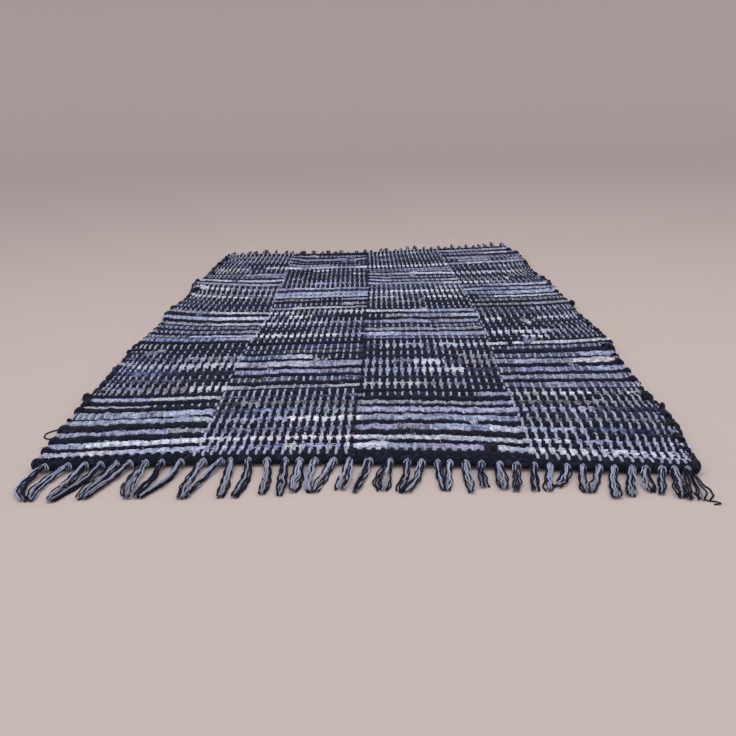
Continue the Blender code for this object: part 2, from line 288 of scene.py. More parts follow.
@dataclass(frozen=True)
class Weave:
    """The log-cabin weave: which rag and which end is on top, and where each pick lies."""

    plan: Plan = Plan()
    pairs: tuple = (18, 18, 19, 18)
    cells: int = 12  # steps of the widths' grid to a pair of ends
    swell: float = 0.07  # how much a rag's width wanders slowly, of that width
    ragged: float = 0.7  # how much it wanders quickly, in millimetres
    slow_waves: tuple = (23.0, 9.0, 4.0)  # the lengths of both kinds of waves, in pairs of ends
    quick_waves: tuple = (2.3, 1.1, 0.7)
    thinnest: float = 1.2
    hold: float = 0.3  # how far round a block's middle its widths hold, in block columns
    full: float = 12.0  # the width at which a rag's crest is at its highest
    dark_crest: tuple = (7.5, 9.3)  # crest of the thinnest and of a full dark rag
    light_crest: tuple = (7.2, 8.9)
    seed: int = 5

    @property
    def counts(self) -> list[int]:
        """The number of picks in each block row."""
        return [len(row[0].split()) for row in RAG_WIDTHS]

    @property
    def picks(self) -> int:
        """The number of picks."""
        return sum(self.counts)

    @property
    def width(self) -> int:
        """The number of pairs of ends."""
        return sum(self.pairs)

    def places(self) -> list[tuple[int, int]]:
        """Each pick's block row and its place in that row, from 0 at the front.

        The first row's place 0 is the front heading, which isn't one of these picks.
        """
        return [(row, place + (row == 0))
                for row, count in enumerate(self.counts) for place in range(count)]

    def numbers(self) -> dict[tuple[int, int], int]:
        """Each pick's number, by its block row and its place in that row."""
        return {place: pick for pick, place in enumerate(self.places())}

    def dark(self) -> Array:
        """Whether each pick is a dark one."""
        return np.array([place % 2 == 0 for _row, place in self.places()])

    def across(self, s: Array) -> Array:
        """Turn a place counted in pairs of ends into block columns."""
        edges = np.concatenate([[0], np.cumsum(self.pairs)])
        return np.interp(s, edges, np.arange(len(edges)))

    def grid(self) -> Array:
        """The widths' grid across the cloth, in pairs of ends."""
        return np.arange(self.width * self.cells + 1) / self.cells

    def widths(self) -> Array:
        """Read each pick's charted width at each grid place.

        A width holds round its block's middle and changes evenly to the next block's.

        Returns:
            The widths (picks, grid), in millimetres.
        """
        across = self.across(self.grid())
        middles = np.arange(len(self.pairs)) + 0.5
        stations = np.stack([middles - self.hold, middles + self.hold], -1).ravel()
        lines = []
        for row in RAG_WIDTHS:
            for wide in zip(*(map(float, block.split()) for block in row)):
                lines.append(np.interp(across, stations, np.repeat(wide, 2)))
        return np.array(lines)

    def crests(self) -> Array:
        """Read how high each pick's crest stands: it rises evenly with the width, to a full rag's.

        Returns:
            The heights (picks, grid), in millimetres.
        """
        part = np.clip(self.widths() / self.full, 0, 1)
        limits = np.where(self.dark()[:, None], self.dark_crest, self.light_crest)
        return limits[:, :1] + (limits[:, 1:] - limits[:, :1]) * part

    def bounds(self) -> tuple[Array, Array]:
        """Find the lines between neighbouring picks on the grid.

        In each block row the picks' widths, each swelling and thinning along its pick, are scaled
        to fill the row, and the lines are their running sum.

        Returns:
            The lines' x and y, each (picks + 1, grid), in millimetres.
        """
        dice = np.random.default_rng(self.seed)
        s = self.grid()
        slow = ripple(dice, self.picks, s, self.slow_waves)
        quick = ripple(dice, self.picks, s, self.quick_waves)
        wide = self.widths() * (1 + self.swell * slow) + self.ragged * quick
        wide = np.maximum(wide, self.thinnest)
        lines, start = [], 0
        for row, count in enumerate(self.counts):
            run = np.vstack([np.zeros(s.size), np.cumsum(wide[start:start + count], axis=0)])
            lines.append(row + run[:-1] / run[-1])
            start += count
        lines.append(np.full((1, s.size), float(len(self.counts))))
        along = np.vstack(lines)
        return self.plan.place(np.broadcast_to(self.across(s), along.shape), along)


# ------------------------------------------------------------------------------------ mesh making


def sweep(centre: Array, side: Array, up: Array, section: Array) -> Array:
    """Carry a closed section along many paths at once.

    Each point is the path's point, plus the section's first number along side, plus its second
    along up.

    Args:
        centre: the paths, (tubes, rings, 3).
        side: unit vectors across each path, the same shape.
        up: unit vectors out of each path, the same shape.
        section: the section at each ring, (tubes, rings, around, 2).

    Returns:
        The points, (tubes, rings, around, 3).
    """
    return (
        centre[:, :, None]
        + side[:, :, None] * section[..., :1]
        + up[:, :, None] * section[..., 1:]
    )


def frames(path: Array, flat: Array) -> tuple[Array, Array]:
    """Set unit vectors across and out of each path.

    The tangent is the difference of the points on either side. The side vector is the flat hint
    with its part along the tangent taken away, and the up vector is side cross tangent.

    Args:
        path: the paths, (tubes, rings, 3).
        flat: a vector that is roughly across them, which broadcasts to path.

    Returns:
        The side and up vectors, each the shape of path.
    """
    tangent = np.gradient(path, axis=1)
    tangent /= np.linalg.norm(tangent, axis=-1, keepdims=True) + 1e-12
    side = flat - tangent * (tangent * flat).sum(-1, keepdims=True)
    side = side / (np.linalg.norm(side, axis=-1, keepdims=True) + 1e-12)
    return side, np.cross(side, tangent)


def lumps(dice: np.random.Generator, shape: tuple[int, ...]) -> Array:
    """Make random lumps: the sum of a point's own draw and two neighbours', over 1.9.

    Args:
        dice: the seeded random source.
        shape: the surface's shape, with its rings and the points round them last.

    Returns:
        The lumps, mostly within -2 to 2.
    """
    draw = dice.normal(0, 1, shape)
    return (draw + np.roll(draw, 1, -2) + np.roll(draw, 1, -1)) / 1.9


def rounded(count: int, degrees: Sequence[float]) -> tuple[Array, Array]:
    """Round off both ends of a tube.

    A ring that is added at an angle shrinks by its cosine and steps out by its sine.

    Args:
        count: the tube's own rings, without those of its ends.
        degrees: the added rings' angles, the outermost first.

    Returns:
        Each ring's size, and its step: below 0 at the first end and above 0 at the last.
    """
    angle = np.radians(degrees)
    size = np.concatenate([np.cos(angle), np.ones(count), np.cos(angle[::-1])])
    return size, np.concatenate([-np.sin(angle), np.zeros(count), np.sin(angle[::-1])])


@dataclass
class Tubes:
    """Many closed tubes of one piece: their rings of points and the colours of each point.

    A rag's shade has a fourth number, the share of its second colour, worn.
    """

    name: str
    rings: Array
    shade: Array
    worn: Array | None = None

    def faces(self) -> tuple[Array, Array]:
        """Number the corners of the sides and of the end caps.

        Ring r's point k is joined to the next point and to the next ring's two. A tube whose
        signed volume comes out negative has its faces turned round.

        Returns:
            The sides' corners (faces, 4) and the caps' corners (2 x tubes, around).
        """
        tubes, rings, around = self.rings.shape[:3]
        index = np.arange(tubes * rings * around).reshape(tubes, rings, around)
        ahead = np.roll(index, -1, axis=2)
        quads = np.stack([index[:, :-1], ahead[:, :-1], ahead[:, 1:], index[:, 1:]], axis=-1)
        caps = np.stack([index[:, 0, ::-1], index[:, -1]], axis=1)
        points = self.rings.reshape(-1, 3)
        middle = self.rings.mean(axis=(1, 2))[:, None, None]
        a, b, c = (points[quads[..., i]] - middle for i in (0, 1, 2))
        inward = (a * np.cross(b, c)).sum(axis=(1, 2, 3)) < 0
        quads[inward] = quads[inward][..., ::-1]
        caps[inward] = caps[inward][..., ::-1]
        return quads.reshape(-1, 4), caps.reshape(-1, around)

    def unwrapped(self, quads: Array) -> Array:
        """Lay each tube out flat: the way along it and the way round it, in metres.

        Args:
            quads: the sides' corners.

        Returns:
            The map place of each corner of the sides, (faces x 4, 2).
        """
        tubes, rings, around = self.rings.shape[:3]
        middle = self.rings.mean(axis=2)
        step = np.linalg.norm(np.diff(middle, axis=1), axis=-1)
        along = np.concatenate([np.zeros((tubes, 1)), np.cumsum(step, axis=1)], axis=1)
        girth = np.linalg.norm(self.rings - np.roll(self.rings, -1, axis=2), axis=-1).sum(2)
        girth = np.broadcast_to(girth.mean(axis=1)[:, None], (tubes, rings))
        ring, turn = quads // around, quads % around
        wrapped = (turn.max(axis=1) == around - 1) & (turn.min(axis=1) == 0)
        turn = np.where(wrapped[:, None] & (turn == 0), around, turn)
        flat = np.stack([along.reshape(-1)[ring], turn / around * girth.reshape(-1)[ring]], -1)
        return (MM * flat).reshape(-1, 2)

    def make(self, finish: bpy.types.Material) -> bpy.types.Object:
        """Make the piece and let it ride on the rug.

        Args:
            finish: its material.

        Returns:
            The finished object.
        """
        quads, caps = self.faces()
        points = self.rings.reshape(-1, 3) * MM
        mesh = bpy.data.meshes.new(self.name)
        mesh.vertices.add(len(points))
        mesh.vertices.foreach_set("co", points.astype(np.float32).ravel())
        corners = np.concatenate([quads.ravel(), caps.ravel()])
        sizes = np.concatenate([np.full(len(quads), 4), np.full(len(caps), caps.shape[1])])
        mesh.loops.add(len(corners))
        mesh.loops.foreach_set("vertex_index", corners.astype(np.int32))
        mesh.polygons.add(len(sizes))
        starts = np.concatenate([[0], np.cumsum(sizes)[:-1]])
        mesh.polygons.foreach_set("loop_start", starts.astype(np.int32))
        mesh.polygons.foreach_set("use_smooth", np.ones(len(sizes), bool))
        mesh.update(calc_edges=True)
        flat = np.zeros((len(corners), 2))
        flat[: quads.size] = self.unwrapped(quads)
        mesh.uv_layers.new(name="Lay").data.foreach_set("uv", flat.astype(np.float32).ravel())
        for label, tint in (("Shade", self.shade), ("Worn", self.worn)):
            if tint is None:
                continue
            parts = np.shape(tint)[-1]
            colour = np.ones((len(points), 4))
            tint = np.broadcast_to(tint, self.rings.shape[:3] + (parts,))
            colour[:, :parts] = tint.reshape(-1, parts)
            layer = mesh.color_attributes.new(label, "FLOAT_COLOR", "POINT")
            layer.data.foreach_set("color", colour.astype(np.float32).ravel())
        mesh.validate()
        mesh.materials.append(finish)
        piece = bpy.data.objects.new(self.name, mesh)
        bpy.context.scene.collection.objects.link(piece)
        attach(piece, BODY)
        log.info("%s: %d tubes, %d points", self.name, len(self.rings), len(points))
        return piece


# --------------------------------------------------------------------------------------- finishes


class Nodes:
    """Adds nodes to a material in order, one line for each."""

    def __init__(self, name: str) -> None:
        """Start an empty material that ends in a Principled shader.

        Args:
            name: the material's name.
        """
        self.material = bpy.data.materials.new(name)
        self.material.use_nodes = True
        self.tree = self.material.node_tree
        self.shader = self.tree.nodes["Principled BSDF"]

    def add(self, kind: str, links: dict | None = None, **values) -> bpy.types.Node:
        """Add a node.

        Args:
            kind: the node's type name, without its ShaderNode prefix.
            links: input socket, by name or number, to the output it takes.
            values: the node's own settings, and input values whose names it has.

        Returns:
            The new node.
        """
        node = self.tree.nodes.new("ShaderNode" + kind)
        for key, value in values.items():
            if hasattr(node, key):
                setattr(node, key, value)
            else:
                node.inputs[key.replace("_", " ")].default_value = value
        for key, output in (links or {}).items():
            self.tree.links.new(output, node.inputs[key])
        return node

    def math(self, operation: str, one: Value, two: Value = 0.0, three: Value = 0.0,
             clamp: bool = False) -> bpy.types.NodeSocket:
        """Add a sum of one to three inputs, each a number or a socket.

        Args:
            operation: the sum, by its name in a Math node.
            one, two, three: the inputs.
            clamp: whether the result is held within 0 to 1.

        Returns:
            The result's socket.
        """
        node = self.tree.nodes.new("ShaderNodeMath")
        node.operation = operation
        node.use_clamp = clamp
        for i, value in enumerate((one, two, three)):
            if isinstance(value, bpy.types.NodeSocket):
                self.tree.links.new(value, node.inputs[i])
            else:
                node.inputs[i].default_value = value
        return node.outputs[0]

    def link(self, output: bpy.types.NodeSocket, name: str) -> None:
        """Join an output to one of the shader's sockets."""
        self.tree.links.new(output, self.shader.inputs[name])

    def finished(self, rough: float, gloss: float, sheen: float = 0.0) -> bpy.types.Material:
        """Set how the surface takes the light.

        Args:
            rough: its roughness.
            gloss: its specular level.
            sheen: its down's weight.

        Returns:
            The material.
        """
        for name, value in (
            ("Roughness", rough), ("Specular IOR Level", gloss), ("Sheen Weight", sheen)):
            self.shader.inputs[name].default_value = value
        return self.material


@dataclass(frozen=True)
class RagFinish:
    """Torn cotton cloth, folded into a strip: print, thread grain, long creases with painted shade,
    and loose fibre.
    """

    name: str = "rag_cotton"
    rough: float = 0.95
    sheen: float = 0.05
    gloss: float = 0.12
    patch: float = 0.0050  # metres from one patch of the print to the next
    level: float = 0.66  # the noise that a patch begins at
    lower: float = 0.4  # how much less noise it takes at a full share of the second colour
    sharp: float = 9.0  # how sharp a patch's edge is
    crease: float = 0.0026  # metres between creases, round the strip
    crease_turn: float = 0.30  # how far the creases wind round the strip, in radians
    crease_stretch: float = 0.22  # that distance over the one along the strip
    # how much the creases darken and the folds between them lighten: painted shade and painted
    # light
    crease_shade_contrast: float = 2.6
    fleck: float = 0.0011  # metres between flecks of thread
    fleck_contrast: float = 1.7
    shades: tuple = (0.12, 1.35)  # the darkest and the lightest that the painted crease shade and the flecks together make the cloth
    strength: float = 0.9
    bump: float = 0.0006

    def material(self) -> bpy.types.Material:
        """Mix the two colours of each rag by patches, then paint shade into its creases and light
        onto the folds between them, and darken and lighten it by flecks of thread.

        A patch shows the second colour where a noise passes a level that falls with its share.

        Returns:
            The material.
        """
        nodes = Nodes(self.name)
        tint = nodes.add("Attribute", attribute_name="Shade")
        worn = nodes.add("Attribute", attribute_name="Worn")
        lay = nodes.add("UVMap", uv_map="Lay")
        place = nodes.add("TexCoord")
        long_way = nodes.add(
            "Mapping", {"Vector": lay.outputs["UV"]},
            Rotation=(0, 0, self.crease_turn), Scale=(self.crease_stretch, 1, 1))
        creases = nodes.add(
            "TexNoise", {"Vector": long_way.outputs[0]},
            Scale=1 / self.crease, Detail=4.0, Roughness=0.65)
        patches = nodes.add(
            "TexNoise", {"Vector": place.outputs["Object"]},
            Scale=1 / self.patch, Detail=3.0, Roughness=0.7)
        speck = nodes.add(
            "TexNoise", {"Vector": place.outputs["Object"]}, Scale=1 / self.fleck, Detail=2.0)
        edge = nodes.math("MULTIPLY_ADD", tint.outputs["Alpha"], self.lower, -self.level)
        above = nodes.math("ADD", patches.outputs["Fac"], edge)
        shown = nodes.math("MULTIPLY_ADD", above, self.sharp, 0.5, clamp=True)
        cloth = nodes.add(
            "Mix", {0: shown, 6: tint.outputs["Color"], 7: worn.outputs["Color"]},
            data_type="RGBA")
        # The creases' noise paints shade into the creases and light onto the folds between them;
        # the flecks' noise mottles the thread.
        folds, grain = (
            nodes.math("MULTIPLY_ADD", noise.outputs["Fac"], contrast, 1 - contrast / 2)
            for noise, contrast in ((creases, self.crease_shade_contrast), (speck, self.fleck_contrast))
        )
        light = nodes.math("MAXIMUM", nodes.math("MULTIPLY", folds, grain), self.shades[0])
        light = nodes.math("MINIMUM", light, self.shades[1])
        shaded = nodes.add("VectorMath", {0: cloth.outputs[2], "Scale": light}, operation="SCALE")
        nodes.link(shaded.outputs[0], "Base Color")
        height = nodes.math("MULTIPLY_ADD", speck.outputs["Fac"], 0.5, creases.outputs["Fac"])
        raised = nodes.add(
            "Bump", {"Height": height}, Strength=self.strength, Distance=self.bump)
        nodes.link(raised.outputs[0], "Normal")
        return nodes.finished(self.rough, self.gloss, self.sheen)


@dataclass(frozen=True)
class YarnFinish:
    """Plied cotton yarn: the plies run round it aslant, with painted shade in the grooves between
    them.
    """

    name: str = "warp_cotton"
    rough: float = 0.92
    sheen: float = 0.05
    gloss: float = 0.12
    ply: float = 0.0013  # metres from groove to groove along the yarn
    slant: float = 0.75  # how far the plies wind round the yarn, in radians
    band: float = 0.314  # the wave's scale that gives one band to a metre
    groove_shading: tuple = (0.55, 0.62)  # how much a ply lightens the yarn, and the painted shade of a groove
    fibre: float = 800.0  # flecks of fibre to a metre
    grain: tuple = (1.2, 0.40)  # the same two numbers for the flecks
    strength: float = 0.7
    bump: float = 0.00025

    def material(self) -> bpy.types.Material:
        """Paint shade into the point colours along slanting grooves, and mottle them with fine
        fibre.

        Returns:
            The material.
        """
        nodes = Nodes(self.name)
        tint = nodes.add("Attribute", attribute_name="Shade")
        lay = nodes.add("UVMap", uv_map="Lay")
        place = nodes.add("TexCoord")
        slant = nodes.add("Mapping", {"Vector": lay.outputs["UV"]}, Rotation=(0, 0, self.slant))
        plies = nodes.add(
            "TexWave", {"Vector": slant.outputs[0]}, bands_direction="X",
            Scale=self.band / self.ply, Distortion=0.6, Detail=1.0)
        fibre = nodes.add(
            "TexNoise", {"Vector": place.outputs["Object"]}, Scale=self.fibre, Detail=2.0)
        # The plies' wave paints shade into the grooves between them.
        grooves = nodes.math("MULTIPLY_ADD", plies.outputs["Fac"], *self.groove_shading)
        grain = nodes.math("MULTIPLY_ADD", fibre.outputs["Fac"], *self.grain)
        light = nodes.math("MULTIPLY", grooves, grain)
        shaded = nodes.add(
            "VectorMath", {0: tint.outputs["Color"], "Scale": light}, operation="SCALE")
        nodes.link(shaded.outputs[0], "Base Color")
        raised = nodes.add(
            "Bump", {"Height": plies.outputs["Fac"]}, Strength=self.strength, Distance=self.bump)
        nodes.link(raised.outputs[0], "Normal")
        return nodes.finished(self.rough, self.gloss, self.sheen)


# ------------------------------------------------------------------------------------- the picks

# The light picks of each block row, front to back. A pick is the strips of cloth along it, each
# with the place where it ends, in millimetres from the rug's middle; the last runs to the edge.
LIGHT_RAGS: tuple[tuple[str, ...], ...] = (
    (
        "PALE -265 CREAM -235 SKY -155 LAVENDER -91 BLUE -73 WHITE -58 LAVENDER -12 PALE 26 "
        "BLUE 62 LAVENDER 114 BLACK 129 PALE 158 CREAM 205 PALE",
        "SKY -265 WHITE -160 PALE -100 WHITE 0 PALE 165 WHITE 198 NAVY 206 LAVENDER 285 PALE",
        "LAVENDER -200 BEIGE -158 GREY 0 LAVENDER 30 GREY 70 SKY 104 BLUE 128 PALE 160 SKY 205 "
        "LAVENDER 222 NAVY 232 DENIM 262 NAVY 284 BLUE",
        "SKY -176 CREAM -158 LAVENDER -75 WHITE 0 SKY 60 BLUE 104 SKY 128 BLUE 165 GREY",
        "GREY -252 MINT -240 GREY -215 SKY -158 SLATE -132 DENIM -108 BLUE -60 GREY 0 "
        "LAVENDER 240 SLATE 275 NAVY",
        "CREAM -230 INK -158 OLIVE -135 BEIGE -115 KHAKI 0 BEIGE 130 LAVENDER 165 KHAKI 230 "
        "BEIGE",
        "LAVENDER -235 CREAM -158 SLATE 0 BLACK 30 INK 75 BLACK 128 LAVENDER 165 CREAM 200 "
        "WHITE 255 GREY 285 PALE",
    ),
    (
        "GREY -235 BEIGE -200 CREAM -150 BEIGE -90 GREY -40 CREAM 70 GREY 118 INK 160 SLATE 205 "
        "GREY 240 SLATE",
        "SLATE -200 INK -155 OLIVE -122 SLATE -84 INK -60 SLATE 0 INK 40 NAVY 60 INK 160 GREY",
        "DENIM -250 NAVY -225 INK -155 BLUE -115 LAVENDER -60 GREY 0 LAVENDER 30 SKY 48 "
        "LAVENDER 66 PALE 104 WHITE 119 NAVY 160 SLATE 186 BLUE 230 DENIM 270 BLUE",
        "MINT -205 PALE -150 GREY -120 MINT -70 GREY 0 LAVENDER 40 GREY 60 PALE 100 SLATE 120 "
        "GREY 160 GREY 190 LAVENDER 222 GREY 258 CREAM",
        "SLATE -240 GREY -160 DENIM -112 LAVENDER -85 PALE -66 BLACK 0 INK 24 WINE 34 INK 118 "
        "BEIGE 160 SLATE 270 LAVENDER",
        "INK -292 PALE -278 INK -110 OLIVE 0 INK 78 SLATE 108 INK 190 SLATE",
        "BLACK -245 INK -90 NAVY 0 SLATE 18 PALE 34 LAVENDER 78 SLATE 90 PALE 165 WHITE 192 "
        "BLACK 198 WHITE",
    ),
    (
        "DENIM -205 LAVENDER -155 SLATE -125 NAVY 0 DENIM 70 SLATE 165 INK 214 WHITE 234 PALE 252 "
        "SLATE",
        "KHAKI -272 SLATE -250 PALE -155 WHITE -42 LAVENDER 0 SKY 40 LAVENDER 165 GREY 178 "
        "PALE 250 GREY",
        "NAVY -284 SLATE -180 GREY -155 INK -78 GREY -48 SLATE 0 BEIGE 50 GREY 100 BEIGE 165 "
        "INK 250 SLATE",
        "SLATE -155 INK 100 SLATE 165 INK 232 WHITE 241 INK",
        "GREY -240 WHITE -230 CREAM -155 PALE -60 GREY 0 SLATE 24 LAVENDER 36 BEIGE 56 LAVENDER 90 "
        "SLATE 108 BEIGE 140 SKY 165 INK 176 WHITE 200 INK 250 WHITE",
        "SKY -240 PALE -155 SKY -135 SLATE -122 WHITE -85 NAVY -45 BLACK 28 BEIGE 62 GREY 128 "
        "MINT 168 GREY 182 SLATE",
        "GREY -250 CREAM -155 WHITE -115 GREY -68 WHITE 80 PALE 96 BLUE 120 LAVENDER 165 "
        "SLATE 252 LAVENDER 305 SKY",
    ),
    (
        "NAVY -240 TEAL -155 GREY -120 CREAM -40 BEIGE 0 KHAKI 14 INK 165 KHAKI 250 GREY",
        "SLATE -235 INK -155 NAVY -118 INK -40 LAVENDER -20 KHAKI 46 BEIGE 92 INK 178 SLATE",
        "SLATE -182 GREY -160 KHAKI -80 BLACK -43 SKY 0 PALE 60 SLATE 96 WHITE 160 BLACK 186 "
        "SLATE 212 PALE",
        "WHITE -200 GREY -160 SKY 0 LAVENDER 80 GREY 130 BLACK 145 GREY 168 DENIM 205 BLUE 240 SKY",
        "GREY -192 PALE -160 LAVENDER -104 MINT -60 LAVENDER 0 PALE 20 WHITE 160 LAVENDER 195 "
        "BLUE 245 LAVENDER",
        "WHITE -242 GREY -222 LAVENDER -160 GREY -130 PALE -100 LAVENDER -50 GREY 0 SLATE 118 "
        "PALE 165 SLATE 210 GREY 240 PALE",
    ),
    (
        "GREY -250 LAVENDER -160 GREY -112 LAVENDER -60 GREY 0 LAVENDER 60 GREY 140 CREAM 222 "
        "GREY 255 TEAL",
        "CREAM -258 SLATE -240 MINT -160 SLATE -142 MINT -124 INK -78 SLATE 0 LAVENDER 40 GREY 150 "
        "CREAM 165 GREY 252 WHITE 262 WINE 290 SLATE",
        "NAVY -245 SLATE -200 LAVENDER -160 INK -132 WINE -100 INK 0 GREY 75 SLATE 165 INK 262 "
        "BEIGE 296 SLATE",
        "SLATE -240 LAVENDER -160 INK -100 SLATE -32 PALE -8 GREY 44 SKY 74 MINT 90 WHITE 165 "
        "PALE 275 CREAM 300 SKY",
        "INK 0 SLATE 100 LAVENDER 165 INK 250 SLATE",
        "INK -160 WINE -108 PALE -78 GREY 0 SLATE 60 GREY 165 SLATE 240 LAVENDER 262 WHITE 268 "
        "LAVENDER",
    ),
    (
        "WHITE -262 LAVENDER -240 NAVY -212 PALE -160 WHITE -135 BEIGE -118 CREAM -62 LAVENDER -26 "
        "WHITE 160 GREY 200 PALE 232 LAVENDER 280 WHITE 292 LAVENDER",
        "SLATE -250 BLACK -160 GREY -80 NAVY 0 INK 165 BLACK 182 LAVENDER 196 GREY 245 INK 292 "
        "LAVENDER",
        "TEAL -285 LAVENDER -240 GREY -160 SLATE -100 INK 0 SLATE 20 GREY 50 SLATE 165 GREY 215 "
        "LAVENDER 245 SLATE 292 NAVY",
        "BEIGE -160 GREY -72 BLUE -48 SLATE -30 PALE -20 GREY 0 SLATE 165 DENIM 218 GREY 245 "
        "PALE 300 NAVY",
        "GREY -124 CREAM -112 SLATE -60 GREY 15 PALE 42 GREY 80 PALE 106 GREY 165 MINT 190 "
        "GREY 250 LAVENDER",
    ),
)

# The dark picks are black but for these, by block row and place in it, from 0.
DARK_RAGS: dict[tuple[int, int], str] = {
    (0, 8): "BLACK 0 INK",
    (1, 6): "NAVY -230 BLACK",
    (2, 8): "INK 0 NAVY 110 INK",
    (2, 12): "BLACK 60 NAVY 140 INK",
    (3, 8): "SLATE -160 LAVENDER -45 SKY 0 INK",
    (3, 10): "BLACK -160 NAVY 0 INK",
    (3, 12): "INK -160 NAVY 165 INK",
    (4, 4): "INK -160 BLACK",
    (4, 12): "OLIVE -160 BLACK",
    (5, 0): "OLIVE -240 INK",
    (5, 6): "INK",
    (5, 8): "INK 165 TEAL 245 BLACK",
}


def strips(text: str) -> tuple[list[float], list[Cloth]]:
    """Read one pick's strips.

    Args:
        text: names of cloths, each but the last followed by the place where it ends.

    Returns:
        The places where the strips end, in millimetres, and the cloths, one more than those.
    """
    words = text.split()
    return [float(word) for word in words[1::2]], [Cloth[word] for word in words[::2]]


@dataclass(frozen=True)
class Bulge:
    """A place where a pick's rag is bunched up, by its block row and its place in that row."""

    row: int
    place: int
    middle: float  # its x
    reach: float  # how far to either side it goes
    grow: float  # how much larger the rag is


@dataclass(frozen=True)
class BigTurn:
    """A rag that stands well out where it turns at the rug's side, 0 the left and 1 the right."""

    side: int
    row: int
    place: int
    out: float


@dataclass
class Dyed:
    """The colours along the picks, each (picks, rings, 3), and how each rag shows them."""

    ground: Array
    worn: Array
    share: Array
    fray: Array


@dataclass
class Picks:
    """The rag weft: each pick a soft tube, pinched where a warp end crosses over it."""

    weave: Weave
    around: int = 8
    first: float = 0.3  # where round the rag its first point is, in radians
    pair_rings: tuple = (1, 5, 7, 9, 11)  # cells of a pair's rings where its left end is on top
    fill: float = 1.06  # a rag's half width over half its share of the row, so neighbours touch
    floor: float = 0.25  # the lowest that a rag lies
    pinch: float = 0.20  # how far an end presses the rag's top in, of its height
    squeeze: float = 0.10  # how far it presses the rag's sides in, of its width
    beside: float = 0.2  # how hard it presses the rag next to it, of how hard under it
    calm: float = 0.7  # how much of its unevenness the rag loses under an end
    puff: float = 0.07  # how far the rag swells between two ends
    waves: tuple = (17.0, 5.0, 1.3)  # lengths of the crest's waves, in pairs of ends
    wave: float = 0.05  # their height, of the crest's
    lump: float = 0.065  # random unevenness of the rag's surface
    twist: float = 0.06  # height of the long folds that wind round the rag
    lay: float = 17.0  # millimetres to one turn of those folds
    lays: tuple = (0.7, 1.5)  # the shortest and the longest turn, over that
    bulge_share: tuple = (0.6, 0.35)  # how much a bulge widens and raises its rag, of its growth
    cap: float = 0.8  # how far a rounded end reaches, in half widths
    cap_degrees: tuple = (82.0, 60.0, 30.0)
    least: float = 2.5  # the least half width of a rounded end
    turn_share: tuple = (-0.22, 0.16)  # how far light and dark turns stand out, of their widths
    turn_stray: float = 0.9  # how far they are off that, in millimetres
    turn_limits: tuple = (-3.5, 4.0)
    turn_reach: float = 1.5  # pairs of ends over which a pick is drawn to its turn
    knob: tuple = (-0.15, 0.32)  # how much light and dark picks thin or swell where they turn
    knobs: tuple = (0.2, 1.3)  # the least and the most that a pick has of that
    knob_reach: float = 1.2  # pairs of ends over which it does so
    slip: float = 2.0  # how far a strip's end strays, in millimetres
    off_tone: float = 0.09  # how much lighter or darker than its cloth a strip is
    off_hue: float = 0.035
    seed: int = 21
    bulges: tuple[Bulge, ...] = read_table(
        Bulge,
        "0 1 -67 8 0.15, 0 1 18 16 0.55, 0 1 122 9 0.45, 0 2 -302 9 0.6, 0 4 -272 10 0.6, "
        "0 5 108 22 0.45, 0 7 -184 11 0.35, 1 7 -55 14 0.25, 1 7 292 14 0.3, 1 9 -100 16 0.35, "
        "2 9 64 18 0.3, 2 13 90 7 0.5, 2 3 30 20 0.3, 3 1 -113 6 0.4, 3 11 -306 9 0.6, "
        "4 7 84 8 0.5, 5 7 -60 14 0.5",
    )
    big_turns: tuple[BigTurn, ...] = read_table(
        BigTurn,
        "0 0 14 8.0, 0 1 3 4.0, 0 1 13 8.0, 0 1 14 5.0, 0 2 11 6.0, 0 2 12 7.0, 0 3 0 4.0, "
        "0 3 11 4.0, 0 4 2 5.5, 0 4 3 5.0, 0 5 2 5.5, 0 5 7 5.0, 1 0 3 4.5, 1 0 4 1.5, "
        "1 0 5 2.5, 1 0 10 5.0, 1 1 11 4.0, 1 1 12 5.5, 1 1 13 6.0, 1 2 6 5.0, 1 2 7 5.0, "
        "1 3 0 9.0, 1 3 2 4.5, 1 3 4 5.0, 1 4 0 4.5, 1 5 6 6.0, 1 5 7 5.0",
    )

    def stations(self) -> Array:
        """Where each pick's rings stand, as steps of the weave's grid.

        A pick has a ring under each side of every end that crosses over it, and three between
        two such ends, where it bulges over the end that it covers.

        Returns:
            An array (picks, rings).
        """
        half, last = self.weave.cells // 2, self.weave.width * self.weave.cells
        pair = np.arange(self.weave.width)[:, None] * self.weave.cells
        left = (pair + np.array(self.pair_rings)).ravel()
        right = np.concatenate([left[2:5] - half, left[:-3] + half])
        lines = [np.concatenate([[0], line, [last]]) for line in (left, right)]
        return np.stack([lines[(pick + 1) % 2] for pick in range(self.weave.picks)])

    def dyed(self, x: Array) -> Dyed:
        """Look up the strip of cloth at each place of each pick.

        Args:
            x: places across the rug, (picks, any number), in millimetres.

        Returns:
            The colours there; every strip is a little off its cloth in tone and in hue.
        """
        dice = np.random.default_rng(self.seed)
        ground, worn = np.empty(x.shape + (3,)), np.empty(x.shape + (3,))
        share, fray = np.empty(x.shape), np.empty(x.shape)
        for pick, (row, place) in enumerate(self.weave.places()):
            dark = DARK_RAGS.get((row, place), "BLACK")
            ends, cloths = strips(LIGHT_RAGS[row][place // 2] if place % 2 else dark)
            dyes = [cloth.value for cloth in cloths]
            ends = np.array(ends) + dice.uniform(-self.slip, self.slip, len(ends))
            strip = np.searchsorted(np.sort(ends), x[pick])
            tone = dice.normal(1, self.off_tone, (len(dyes), 1))
            tone = (tone * dice.normal(1, self.off_hue, (len(dyes), 3)))[strip]
            ground[pick] = np.array([dye.ground for dye in dyes])[strip] * tone
            worn[pick] = np.array([dye.worn for dye in dyes])[strip] * tone
            share[pick] = np.array([dye.share for dye in dyes])[strip]
            fray[pick] = np.array([dye.fray for dye in dyes])[strip]
        return Dyed(ground, worn, share, fray)

